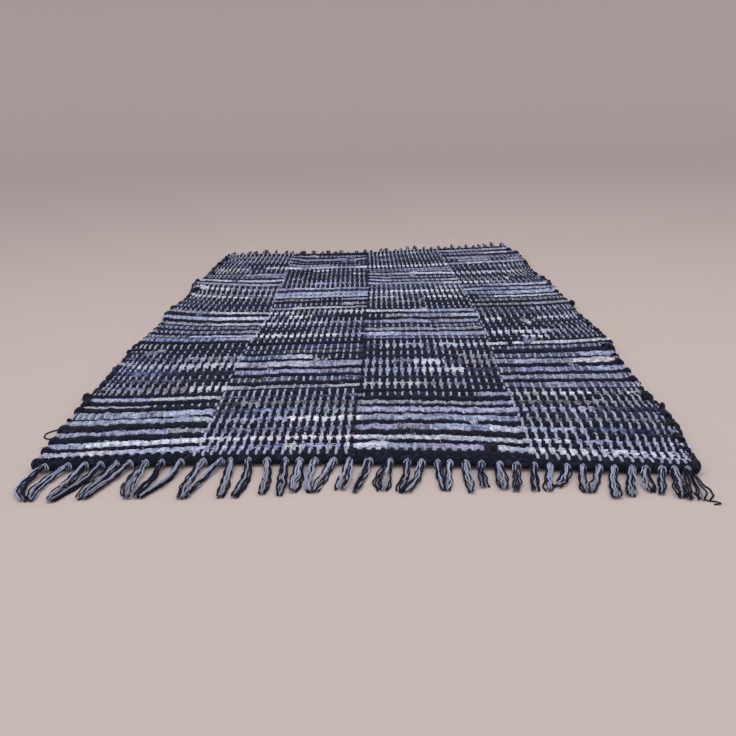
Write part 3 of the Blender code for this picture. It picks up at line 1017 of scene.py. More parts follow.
    def turns(self, dice: np.random.Generator) -> Array:
        """Set how far the picks' turns stand out.

        Args:
            dice: the seeded random source.

        Returns:
            How far at the left and at the right, (picks, 2), in millimetres.
        """
        weave = self.weave
        share = np.where(weave.dark(), self.turn_share[1], self.turn_share[0])[:, None]
        stray = dice.normal(0, self.turn_stray, (weave.picks, 2))
        out = np.clip(share * weave.widths()[:, [0, -1]] + stray, *self.turn_limits)
        number = weave.numbers()
        for turn in self.big_turns:
            out[number[turn.row, turn.place], turn.side] = turn.out
        return out

    def rings(self) -> Array:
        """Shape the picks.

        A section is an ellipse as wide as the pick's share of the cloth and as high as its crest.
        Its top is pressed in under each crossing end and swells between them, two long folds wind
        round it, and it is a little lumpy everywhere. The last three rings at each side shrink by
        the cosine of 30, 60 and 82 degrees and step out by the sine, as a rounded turn.

        Returns:
            The points, (picks, rings, around, 3), in millimetres.
        """
        dice = np.random.default_rng(self.seed + 1)
        weave = self.weave
        x, y = weave.bounds()
        at = self.stations()
        count = at.shape[1]
        row = np.arange(weave.picks)[:, None]
        near, far = (np.stack([x[line, at], y[line, at]], -1) for line in (row, row + 1))
        middle = (near + far) / 2
        wide = np.linalg.norm(far - near, axis=-1) / 2 * self.fill
        sway = ripple(dice, weave.picks, weave.grid(), self.waves)
        crest = weave.crests()[row, at] * (1 + self.wave * np.take_along_axis(sway, at, 1))
        high = crest / 2
        inside = (at / weave.cells, weave.width - at / weave.cells)
        sides = sum(np.clip(1 - off / self.knob_reach, 0, 1) ** 2 for off in inside)
        knob = np.where(weave.dark(), self.knob[1], self.knob[0])
        knob = 1 + (knob * dice.uniform(*self.knobs, weave.picks))[:, None] * sides
        wide, high = wide * knob, high * knob

        # An end presses fully within 2 cells of it, a little within 4, and no further.
        half = weave.cells // 2
        place = at - weave.cells // 4 - half * ((row + 1) % 2)
        away = np.abs((place + half) % weave.cells - half)
        press = np.select([away <= 2, away <= 4], [1.0, self.beside], 0.0)
        number = weave.numbers()
        for bulge in self.bulges:
            pick = number[bulge.row, bulge.place]
            swell = np.exp(-(((middle[pick, :, 0] - bulge.middle) / bulge.reach) ** 2))
            wide[pick] *= 1 + bulge.grow * self.bulge_share[0] * swell
            high[pick] *= 1 + bulge.grow * self.bulge_share[1] * swell

        # The rounded turns at both sides.
        turn = self.turns(dice)
        full = np.maximum(wide[:, [0, -1]], self.least) * self.cap
        pull = full - turn
        left, right = (np.clip(1 - off / self.turn_reach, 0, 1) for off in inside)
        middle[..., 0] += pull[:, :1] * left - pull[:, 1:] * right
        shrink, step = rounded(count, self.cap_degrees)
        own = np.pad(np.arange(count), len(self.cap_degrees), mode="edge")
        middle, wide, high, press = (a[:, own] for a in (middle, wide, high, press))
        reach = np.where(own < count / 2, full[:, :1], full[:, 1:])
        middle = middle + np.stack([reach * step, np.zeros_like(reach)], -1)

        # The sections, and the rags along their paths.
        theta = np.linspace(0, 2 * np.pi, self.around, endpoint=False) + self.first
        out, up = np.cos(theta), np.sin(theta)
        top = np.clip(up, 0, 1)
        uneven = lumps(dice, wide.shape + (self.around,))
        each = (weave.picks, 1, 1)
        phase = dice.uniform(0, 2 * np.pi, each)
        lay = self.lay * dice.uniform(*self.lays, each)
        hand = np.where(dice.random(each) < 0.5, 1, -1)
        folds = np.cos(2 * theta + hand * 2 * np.pi * middle[..., 0][..., None] / lay + phase)
        press = press[..., None]
        girth = 1 + (self.lump * uneven + self.twist * folds) * (1 - self.calm * press)
        dip = 1 - self.pinch * press * top + self.puff * (press == 0) * top
        nip = 1 - self.squeeze * press
        section = np.stack([
            wide[..., None] * out * girth * nip * shrink[:, None],
            high[..., None] * up * girth * dip * shrink[:, None],
        ], -1)
        path = np.concatenate([middle, high[..., None]], -1)
        side, rise = frames(path, np.array([0.0, 1.0, 0.0]))
        points = sweep(path, -side, rise, section)
        points[..., 2] = np.maximum(points[..., 2], self.floor)
        return points

    def build(self, finish: bpy.types.Material) -> list[bpy.types.Object]:
        """Make one piece for each block row.

        Args:
            finish: the rags' material.

        Returns:
            The pieces, front to back.
        """
        points = self.rings()
        dyed = self.dyed(points[..., 0].mean(axis=2))
        pieces, start = [], 0
        for row, count in enumerate(self.weave.counts):
            part = slice(start, start + count)
            shade = np.concatenate([dyed.ground[part], dyed.share[part][..., None]], -1)
            tubes = Tubes(
                f"weft_row_{row + 1}", points[part], shade[:, :, None], dyed.worn[part][:, :, None])
            piece = tubes.make(finish)
            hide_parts("woven_cloth")
            pieces.append(piece)
            start += count
        return pieces


# ----------------------------------------------------------------------------------- the warp ends


@dataclass
class Warp:
    """The cotton ends: each a flat pair of yarns that runs over one pick and under the next."""

    weave: Weave
    pale_half_width: float = 1.45
    dark_half_width: float = 2.1
    rise: float = 1.05  # how thick an end is
    shoulder: float = 0.72  # half width of its flat top, of its own half width
    sink: float = 0.1  # how deep it beds into the rag that it crosses
    wander: float = 0.35  # how far its crossings stray to either side
    waist: float = 5.4  # height at which it passes between two picks
    below: float = 0.55  # height at which it passes under one
    shares: tuple = (0.0, 0.07, 0.24, 0.5, 0.76, 0.93)  # its rings over a pick
    start: float = 0.3  # how far in over a heading it comes out of the knots
    over: float = 0.35  # how much higher it runs over a heading than over a rag
    tuck: float = 4.5  # how far in from a heading's two ends the outermost ends are drawn
    tones: tuple = (0.08, 0.10)  # how much lighter or darker an end is, and each place along it
    seed: int = 33

    def rows(self, parity: int) -> tuple[Array, Array, Array]:
        """List one end's rings, counting the headings as the first and the last pick.

        Args:
            parity: the end's number from the left, modulo 2.

        Returns:
            For each ring its pick, its share of the pick's width, and whether it is on top (1),
            below (-1) or between two picks (0).
        """
        listed = []
        last = self.weave.picks + 1
        for pick in range(last + 1):
            if (pick + parity) % 2 == 0:
                listed += [(pick, share, 1 if share else 0) for share in self.shares[:-1]]
            else:
                listed += [(pick, 0.0, 0), (pick, 0.5, -1)]
        listed.append((last, 1.0, 0))
        pick, share, side = (np.array(column) for column in zip(*listed))
        share = np.where(pick == 0, self.start + share * (1 - self.start), share)
        return pick, np.where(pick == last, share * (1 - self.start), share), side

    def build(
        self, finish: bpy.types.Material, picks: Picks, edges: tuple["Edge", "Edge"],
    ) -> list[bpy.types.Object]:
        """Make the pale ends and the dark ends.

        On top of a pick of half height h, an end's height is h (1 + u - p u u), where p is the
        pinch and u the height of the pick's rounded section there; between picks it passes at the
        waist. Over a heading the pinch is none. A place on an end strays aside by the sum of its
        own draw and the two before it, over 1.7.

        Args:
            finish: the yarn's material.
            picks: the picks that the ends cross.
            edges: the front and the back heading's edges.

        Returns:
            The two pieces, pale first.
        """
        dice = np.random.default_rng(self.seed)
        weave = self.weave
        x, y = weave.bounds()
        front, back = edges
        x = np.vstack([x[:1], x, x[-1:]])
        y = np.vstack([front.y(x[:1]), y, back.y(x[-1:])])
        number = np.arange(2 * weave.width)
        column = np.repeat(np.arange(len(weave.pairs)), [2 * n for n in weave.pairs])
        pale = (number + column) % 2 == 1
        cell = weave.cells // 2 * number + weave.cells // 4
        rolls = [2 * edge.half_height(x[at]) for edge, at in ((front, 0), (back, -1))]
        crest = np.vstack([rolls[:1], weave.crests(), rolls[1:]])
        paths = []
        for parity in (0, 1):
            own = cell[parity::2]
            pick, share, side = self.rows(parity)
            share, side = share[:, None], side[:, None]
            px = x[pick][:, own] * (1 - share) + x[pick + 1][:, own] * share
            py = y[pick][:, own] * (1 - share) + y[pick + 1][:, own] * share
            half = crest[pick][:, own] / 2
            up = np.sqrt(np.clip(1 - ((share - 0.5) * 2 / picks.fill) ** 2, 0, 1))
            heading = ((pick == 0) | (pick == weave.picks + 1))[:, None]
            for edge, on in ((front, pick == 0), (back, pick == weave.picks + 1)):
                sides = edge.line()[0]
                px[on] = np.clip(px[on], sides[0] + self.tuck, sides[-1] - self.tuck)
            top = half * (1 + up - np.where(heading, 0, picks.pinch) * up * up)
            top += np.where(heading, self.over, -self.sink)
            z = np.where(side > 0, top, np.where(side < 0, self.below, self.waist))
            stray = dice.normal(0, self.wander, px.shape)
            stray = (stray + np.roll(stray, 1, 0) + np.roll(stray, 2, 0)) / 1.7
            paths.append(np.stack([px + stray, py, z], -1))
        ends = np.empty((2 * weave.width,) + paths[0].shape[::2])
        ends[0::2] = paths[0].transpose(1, 0, 2)
        ends[1::2] = paths[1].transpose(1, 0, 2)
        side, up = frames(ends, np.array([1.0, 0.0, 0.0]))
        pieces = []
        for name, chosen, yarn, w in (
            ("warp_pale", pale, Yarn.PALE, self.pale_half_width),
            ("warp_dark", ~pale, Yarn.DARK, self.dark_half_width),
        ):
            flat = self.shoulder * w
            outline = np.array([(-w, 0), (-flat, self.rise), (flat, self.rise), (w, 0)])
            section = np.broadcast_to(outline, (int(chosen.sum()), ends.shape[1]) + outline.shape)
            points = sweep(ends[chosen], side[chosen], up[chosen], section)
            tone = dice.normal(1, self.tones[0], (len(points), 1, 1, 1))
            tone = tone * dice.normal(1, self.tones[1], (len(points), points.shape[1], 1, 1))
            tubes = Tubes(name, points, np.array(yarn.value) * tone)
            pieces.append(tubes.make(finish))
        return pieces


# ------------------------------------------------------------------------------------ loose threads


def curves(marks: Array, steps: int) -> Array:
    """Read a smooth curve through each row of marks, at even steps.

    Args:
        marks: the points on the way, (curves, marks, 3).
        steps: points to a curve.

    Returns:
        The points, (curves, steps, 3).
    """
    count, places = marks.shape[:2]
    t = np.linspace(0, places - 1, steps)[:, None]
    t = np.broadcast_to(t, (steps, count * 3))
    values = marks.transpose(1, 0, 2).reshape(places, 1, -1)
    values = np.broadcast_to(values, (places, steps, count * 3))
    return spline(values, t).reshape(steps, count, 3).transpose(1, 0, 2)


def ring(sides: int) -> Array:
    """A regular section of so many sides, its points one from its middle."""
    theta = np.linspace(0, 2 * np.pi, sides, endpoint=False)
    return np.stack([np.cos(theta), np.sin(theta)], -1)


@dataclass(frozen=True)
class Tuft:
    """Threads that stick out of a rag at one spot: how far, which way (degrees), and how many."""

    x: float
    y: float
    reach: float
    turn: float
    count: int
    cloth: Cloth


@dataclass(frozen=True)
class Curl:
    """One loose thread on the floor or at the rug's side, as the points that it passes."""

    radius: float
    cloth: Cloth
    marks: tuple[tuple[float, float, float], ...]


@dataclass
class Frays:
    """The rags' loose fibres: short ones over the light picks, tufts, and a few long threads."""

    weave: Weave
    picks: Picks
    count: int = 1700
    length: tuple = (2.5, 8.0)
    radius: tuple = (0.22, 0.42)
    taper: tuple = (1.0, 0.95, 0.8, 0.4)  # a thread's radius at its four rings, over that
    coarse: float = 1.7  # how much thicker a tuft's threads are
    curl: float = 0.25  # how far a thread curls aside, of its length
    lift: tuple = (0.5, 1.6)  # the lowest and highest that its middle rises
    drop: float = 0.5  # how far its tip falls
    cells: tuple = (4, 3)  # steps of the grid that a side keeps free, and from root to root
    favour: float = 1.5  # the power of a cloth's fray that gives its share of the fibres
    onward: float = 0.55  # the share of fibres that point to the far end
    fan: float = 0.8  # how widely they point, in radians
    tuft_height: float = 8.4
    tuft_size: tuple = (1.9, 1.5, 0.3)
    tuft_fan: float = 13.0  # degrees
    tuft_reach: tuple = (0.55, 1.05)
    thread_floor: float = 0.1  # the lowest that a long thread lies
    thread_steps: int = 26
    sides: tuple = (3, 5)  # of a short thread and of a long one
    worn: tuple = (0.3, 0.2)  # the share of the second colour on each
    seed: int = 91
    tufts: tuple[Tuft, ...] = read_table(
        Tuft,
        "-67 -411 7 70 6 WHITE, -105 -414 18 34 3 WHITE, 20 -402 9 80 14 PALE, "
        "112 -369 12 95 14 WHITE, 51 -372 10 -90 8 BEIGE, 40 -370 7 80 8 BEIGE, "
        "-186 -347 9 90 12 WHITE, -125 -312 9 40 14 BEIGE, -304 -297 15 182 5 BLACK, "
        "300 -300 9 60 12 CREAM, -288 -166 22 82 26 LAVENDER, -276 -152 12 60 14 PALE, "
        "-309 -196 9 120 22 WHITE, 105 -234 18 -62 4 WHITE, -119 -222 12 70 4 PALE, "
        "-62 -192 9 95 14 WHITE, -51 -190 7 80 10 WHITE, 253 -222 13 70 8 PALE, "
        "304 -196 14 75 12 LAVENDER, 215 -141 30 70 16 SKY, 90 15 12 90 16 WHITE, "
        "156 -74 10 90 7 WHITE, 236 -62 34 97 10 WHITE, -234 -44 16 105 8 WHITE, "
        "-264 4 14 100 10 LAVENDER, 66 -34 9 80 10 PALE, -113 33 12 88 10 WHITE, "
        "84 60 26 68 5 BEIGE, 138 64 12 100 10 TEAL, 81 227 34 86 34 MINT, "
        "42 224 30 92 9 GREY, 26 178 20 84 9 GREY, 312 208 9 5 14 CREAM, "
        "-48 350 34 118 16 BLUE, -31 358 18 105 10 PALE, -34 386 22 90 7 PALE, "
        "232 326 20 80 16 WHITE, 285 330 16 76 14 WHITE, -119 408 24 93 12 CREAM, "
        "-285 284 22 98 18 WHITE",
    )
    curls: tuple[Curl, ...] = (
        Curl(0.7, Cloth.BLACK, (
            (-303, -366, 6), (-314, -374, 1.4), (-323, -371, 0.9), (-325, -362, 0.9),
            (-316, -354, 1.4), (-304, -352, 6))),
        Curl(0.6, Cloth.BLACK, (
            (277, -480, 2.4), (281, -488, 1.0), (286, -493, 0.8), (291, -494, 0.8),
            (294, -497, 0.8), (288, -498, 0.9))),
        Curl(0.5, Cloth.BLACK, (
            (304, -262, 5), (312, -266, 1.2), (320, -262, 0.8), (322, -256, 0.8),
            (316, -252, 0.8), (312, -255, 0.9))),
    )

    def fibres(self, dice: np.random.Generator) -> tuple[Array, Array, Array, Array]:
        """Scatter short fibres over the picks, the more the more a cloth frays.

        A root lies 0.2 to 0.9 of the way over its rag, at the height of its crest times 0.98 less
        0.9 of the square of its way from the rag's middle.

        Args:
            dice: the seeded random source.

        Returns:
            Their roots (fibres, 3), directions in radians, lengths, and colours (fibres, 3).
        """
        x, y = self.weave.bounds()
        free, step = self.cells
        s = np.arange(free, x.shape[1] - free, step)
        dyed = self.picks.dyed(x[:-1, s])
        odds = (dyed.fray ** self.favour).ravel()
        chosen = dice.choice(odds.size, self.count, p=odds / odds.sum())
        pick, at = np.divmod(chosen, s.size)
        part = dice.uniform(0.2, 0.9, self.count)
        here = s[at]
        root = np.stack([
            x[pick, here] + dice.uniform(-2, 2, self.count),
            y[pick, here] * (1 - part) + y[pick + 1, here] * part,
            self.weave.crests()[pick, here] * (0.98 - 0.9 * (part - 0.5) ** 2),
        ], -1)
        away = np.where(dice.random(self.count) < self.onward, 1, -1) * np.pi / 2
        angle = away + dice.normal(0, self.fan, self.count)
        length = dice.uniform(*self.length, self.count)
        mix = dice.uniform(0.2, 1.0, (self.count, 1))
        ground, worn = dyed.ground[pick, at], dyed.worn[pick, at]
        return root, angle, length, ground + (worn - ground) * mix

    def bundles(self, dice: np.random.Generator) -> tuple[Array, Array, Array, Array]:
        """List the tufts' threads in the same way.

        Args:
            dice: the seeded random source.

        Returns:
            Their roots, directions, lengths and colours.
        """
        roots, angles, lengths, colours = [], [], [], []
        for tuft in self.tufts:
            n = tuft.count
            spot = np.array([tuft.x, tuft.y, self.tuft_height])
            roots.append(spot + dice.normal(0, 1, (n, 3)) * np.array(self.tuft_size))
            angles.append(np.radians(tuft.turn + dice.normal(0, self.tuft_fan, n)))
            lengths.append(tuft.reach * dice.uniform(*self.tuft_reach, n))
            ground, worn = np.array(tuft.cloth.value.ground), np.array(tuft.cloth.value.worn)
            colours.append(ground + (worn - ground) * dice.uniform(0, 1, (n, 1)))
        return tuple(map(np.concatenate, (roots, angles, lengths, colours)))

    def build(self, finish: bpy.types.Material) -> list[bpy.types.Object]:
        """Make the fibres and tufts as one piece, and the long threads as another.

        A thread is a three-sided tube of four rings. It runs its length from its root, curls
        aside by the square of the way, and rises and falls by half a sine, less its drop.

        Args:
            finish: the rags' material.

        Returns:
            The two pieces.
        """
        dice = np.random.default_rng(self.seed)
        small, large = self.fibres(dice), self.bundles(dice)
        root, angle, length, colour = (np.concatenate(pair) for pair in zip(small, large))
        count, fine = len(root), len(small[0])
        t = np.linspace(0, 1, len(self.taper))
        run = length[:, None] * t
        curl = dice.uniform(-self.curl, self.curl, (count, 1)) * length[:, None] * t ** 2
        lift = dice.uniform(*self.lift, (count, 1)) * np.sin(np.pi * t) - self.drop * t
        ahead = np.stack([np.cos(angle), np.sin(angle)], -1)[:, None]
        aside = np.stack([-np.sin(angle), np.cos(angle)], -1)[:, None]
        flat = root[:, None, :2] + ahead * run[..., None] + aside * curl[..., None]
        path = np.concatenate([flat, (root[:, 2:] + lift)[..., None]], -1)
        size = dice.uniform(*self.radius, (count, 1)) * np.array(self.taper)
        size[fine:] *= self.coarse
        across = np.concatenate([aside, np.zeros((count, 1, 1))], -1)
        side, up = frames(path, across)
        points = sweep(path, side, up, size[..., None, None] * ring(self.sides[0]))
        shade = np.concatenate([colour, np.full((count, 1), self.worn[0])], -1)[:, None, None]
        pieces = [Tubes("rag_frays", points, shade, shade[..., :3]).make(finish)]
        path = curves(np.array([curl.marks for curl in self.curls], float), self.thread_steps)
        size = np.array([curl.radius for curl in self.curls])[:, None, None, None]
        side, up = frames(path, np.array([0.0, 0.0, 1.0]))
        section = np.broadcast_to(size * ring(self.sides[1]), path.shape[:2] + (self.sides[1], 2))
        points = sweep(path, side, up, section)
        points[..., 2] = np.maximum(points[..., 2], self.thread_floor)
        shade = np.array([curl.cloth.value.ground + self.worn[1:] for curl in self.curls])
        shade = shade[:, None, None]
        pieces.append(
            Tubes("loose_threads", points, shade, shade[..., :3]).make(finish))
        return pieces


# ------------------------------------------------------------------------------------- the ground


@dataclass
class Ground:
    """The crowded inside of the rags, a thin black sheet that closes the valleys between the picks:
    painted shade in them.
    """

    weave: Weave
    top: float = 4.4
    foot: float = 0.9
    margin: float = 0.03  # how far in from the cloth's edges it ends, in blocks
    columns: int = 48
    rows: int = 72

    def build(self, finish: bpy.types.Material) -> bpy.types.Object:
        """Make the sheet: a level top and a level foot on the cloth's own plan, joined at the rim.

        Args:
            finish: its material.

        Returns:
            The piece.
        """
        weave = self.weave
        u = np.linspace(self.margin, len(weave.pairs) - self.margin, self.columns)
        v = np.linspace(self.margin, len(weave.counts) - self.margin, self.rows)
        x, y = weave.plan.place(*np.meshgrid(u, v))
        foot, top = (np.stack([x, y, np.full_like(x, z)], -1) for z in (self.foot, self.top))
        loop = np.concatenate([foot, top[:, ::-1]], axis=1)
        # The sheet has the black rag's colour: painted shade in the valleys between the picks.
        shade = np.array(Cloth.BLACK.value.ground + (0.2,))
        return Tubes("cloth_ground", loop[None], shade, shade[:3]).make(finish)


# ------------------------------------------------------------------------------------ the headings


@dataclass(frozen=True)
class Edge:
    """One end of the rug: the cloth's end line, and the heading's own line outside it.

    The heading's widths and heights are read at the same places across as a row of the plan's
    borders.
    """

    plan: Plan
    along: float  # block rows from the cloth's front edge
    outward: float  # -1 in front and 1 behind
    widths: tuple
    heights: tuple
    stations: tuple = (0.0, 0.05, 0.6, 1.3, 2.0, 2.7, 3.4, 3.95, 4.0)  # the line's corners, across

    def line(self) -> tuple[Array, Array]:
        """The cloth's end line's corners, as x and y."""
        across = np.array(self.stations)
        return self.plan.place(across, np.full(across.shape, self.along))

    def read(self, sizes: tuple, x: Array) -> Array:
        """Read a table of the heading's sizes at each x."""
        marks = np.repeat(np.array(sizes)[:, None], len(self.stations), 1)
        return np.interp(x, self.line()[0], spline(marks, 2 * np.array(self.stations)))

    def width(self, x: Array) -> Array:
        """The heading's width at each x."""
        return self.read(self.widths, x)

    def half_height(self, x: Array) -> Array:
        """The heading's half height at each x."""
        return self.read(self.heights, x) / 2

    def y(self, x: Array) -> Array:
        """Find the heading's outer side, carried straight on past its two ends.

        Args:
            x: places across the rug, in millimetres.

        Returns:
            Its y at each.
        """
        cx, cy = self.line()
        y = np.interp(x, cx, cy)
        left, right = (cy[1] - cy[0]) / (cx[1] - cx[0]), (cy[-1] - cy[-2]) / (cx[-1] - cx[-2])
        y = y + np.minimum(x - cx[0], 0) * left + np.maximum(x - cx[-1], 0) * right
        return y + self.outward * self.width(x)

    def point(self, x: Array, out: Array, up: Array) -> Array:
        """Points at x, at a distance out from the heading's outer side, and at a height."""
        x, out, up = np.broadcast_arrays(x, out, up)
        return np.stack([x, self.y(x) + self.outward * out, up], -1)


@dataclass
class Heading:
    """The thick dark last pick at one end of the cloth."""

    edge: Edge
    name: str
    parting: float = 0.3  # how far it lies from the cloth
    floor: float = 0.2  # the lowest that it lies
    step: float = 2.6
    around: int = 16
    cap: float = 5.0  # how far a rounded end reaches
    cap_degrees: tuple = (84.0, 62.0, 38.0, 16.0)
    waves: tuple = (90.0, 31.0, 12.0)
    wave: float = 0.04  # how much it swells along those waves
    wander: float = 0.3  # how far it strays to either side
    lump: float = 0.035
    twist: float = 0.03  # height of the long folds that wind round it
    lay: float = 31.0  # millimetres to one turn of those folds
    knob: float = 0.22  # how much it swells at its two ends
    knob_reach: tuple = (5.0, 15.0)  # where that is full and where it begins, from the end
    seed: int = 51

    def build(self, finish: bpy.types.Material) -> bpy.types.Object:
        """Make the roll: an ellipse carried along the end line.

        It swells along slow waves and at its two ends, long folds wind round it, and it is a
        little lumpy. Its last rings shrink by the cosine of the cap's angles and step out by
        their sine, as a rounded end.

        Args:
            finish: the rags' material.

        Returns:
            The piece.
        """
        dice = np.random.default_rng(self.seed)
        corners = self.edge.line()[0]
        left, right = corners[0] + self.cap, corners[-1] - self.cap
        body = np.linspace(left, right, int((corners[-1] - corners[0] - 2 * self.cap) / self.step))
        shrink, step = rounded(body.size, self.cap_degrees)
        x = np.pad(body, len(self.cap_degrees), mode="edge") + self.cap * step
        sway = ripple(dice, 3, x, self.waves)
        inside = np.minimum(x - x[0], x[-1] - x)
        full, begin = self.knob_reach
        knob = np.clip((begin - inside) / (begin - full), 0, 1) ** 2
        size = 1 + self.wave * sway[0] + self.knob * knob
        half_width = (self.edge.width(x) - self.parting) / 2
        half_height = self.edge.half_height(x)
        path = self.edge.point(x, -half_width + self.wander * sway[1], half_height * size)[None]
        theta = np.linspace(0, 2 * np.pi, self.around, endpoint=False)
        folds = np.cos(2 * theta + 2 * np.pi * x[:, None] / self.lay + 1.0)
        uneven = self.lump * lumps(dice, (x.size, self.around)) + self.twist * folds
        girth = size[:, None] * (1 + uneven) * shrink[:, None]
        section = np.stack([
            half_width[:, None] * np.cos(theta) * girth,
            half_height[:, None] * np.sin(theta) * girth,
        ], -1)[None]
        side, up = frames(path, np.array([0.0, 1.0, 0.0]))
        points = sweep(path, -side, up, section)
        points[..., 2] = np.maximum(points[..., 2], self.floor)
        black = Cloth.BLACK.value
        shade, worn = np.array(black.ground + (black.share,)), np.array(black.worn)
        piece = Tubes(self.name + "_roll", points, shade, worn).make(finish)
        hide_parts(self.name)
        return piece


# -------------------------------------------------------------------------------------- the fringe


@dataclass(frozen=True)
class Bunch:
    """Knots whose tassels lie together, and how they lie, in millimetres."""

    knots: tuple[float, ...]  # the x of each
    tip: float  # the x of the middle of their tips
    spread: float  # how far apart the outermost tips lie
    reach: float  # how far out the longest yarn goes
    bow: float = 0.0  # how far the middle of the tassels bends to the right
    belly: float = 1.0  # the tassel's width half way over its mean width
    pale: float = 0.5  # the share of pale yarns


# The headings' widths and heights, at the same places across as a row of the plan's borders.
FRONT_ROLL = (
    (11, 12.5, 13.5, 16.5, 18.5, 21.5, 18, 17, 12),
    (10.4, 10.6, 10.7, 11.0, 11.2, 11.4, 11.2, 11.0, 10.5),
)
BACK_ROLL = (
    (13, 14, 14, 12, 18, 19, 9, 8, 8),
    (10.4, 10.8, 10.6, 9.9, 11.0, 11.3, 9.5, 9.2, 9.2),
)
FRONT_BUNCHES: tuple[Bunch, ...] = (
    Bunch((-288.5, -268), -282, 16, 47, -9, 1.1),
    Bunch((-253, -238), -262, 12, 50, 0, 1.1, 0.4),
    Bunch((-224, -212), -236, 12, 48, -3, 1.1, 0.5),
    Bunch((-198,), -197, 13, 50, -5, 1.6, 0.6),
    Bunch((-183.5, -165.5), -188, 13, 49, 2, 1.1, 0.4),
    Bunch((-145, -128), -149, 13, 52, -3, 1.0, 0.6),
    Bunch((-119,), -118, 9, 52, 0, 1.0),
    Bunch((-103,), -106, 8, 52, 3, 1.1),
    Bunch((-86,), -83, 9, 47, 2, 1.0),
    Bunch((-69,), -68, 7, 49, 0, 1.1, 0.3),
    Bunch((-55,), -57, 8, 44, 0, 1.5, 0.5),
    Bunch((-42, -24.5), -40, 13, 44, -2, 1.1, 0.6),
    Bunch((-10,), -17, 12, 40, 0, 1.2, 0.6),
    Bunch((8,), -4, 6, 44, 0, 1.2, 0.5),
    Bunch((26,), 20, 12, 40, -2, 1.7, 0.4),
    Bunch((42, 55), 37, 13, 42, 2, 1.0, 0.4),
    Bunch((70, 80), 74, 9, 37, 0, 0.9, 0.5),
    Bunch((95,), 95, 6, 39, 0, 1.0, 0.8),
    Bunch((108,), 107, 12, 31, 0, 0.8),
    Bunch((124,), 124, 11, 33, 0, 1.2),
    Bunch((139.5,), 133, 8, 35, 0, 1.0),
    Bunch((154,), 149, 10, 34, 0, 1.0, 0.2),
    Bunch((168,), 161, 8, 32, 0, 1.0, 0.6),
    Bunch((182,), 169, 9, 26, 2, 1.3, 0.3),
    Bunch((196, 210), 193, 14, 32, 0, 1.0, 0.6),
    Bunch((222.5,), 213, 10, 39, 0, 1.0, 0.6),
    Bunch((238,), 227, 12, 36, 0, 1.0, 0.5),
    Bunch((250,), 244, 10, 29, 0, 1.3),
    Bunch((264,), 252, 7, 32, 0, 1.0, 0.7),
    Bunch((273.5,), 266, 10, 36, 2, 1.0),
    Bunch((284.5,), 277, 30, 39, 3, 1.0, 0.15),
)


def back_bunches(low: float, high: float) -> tuple[Bunch, ...]:
    """Lay out the back fringe: single knots at nearly even spacing, each swaying a little.

    Args:
        low: the heading's left end.
        high: its right end.

    Returns:
        The bunches, left to right.
    """
    dice = random.Random(11)
    margin, knots = 7.0, 38
    stray, sway, spreads, reaches = 1.4, 6.0, (3, 8), (38, 58)
    span = (high - low - 2 * margin) / (knots - 1)
    bunches = []
    for k in range(knots):
        knot = low + margin + k * span + dice.uniform(-stray, stray)
        tip = knot + dice.uniform(-sway, sway)
        spread, reach = dice.uniform(*spreads), dice.uniform(*reaches)
        bunches.append(Bunch((knot,), tip, spread, reach, belly=1.3, pale=0.2))
    return tuple(bunches)


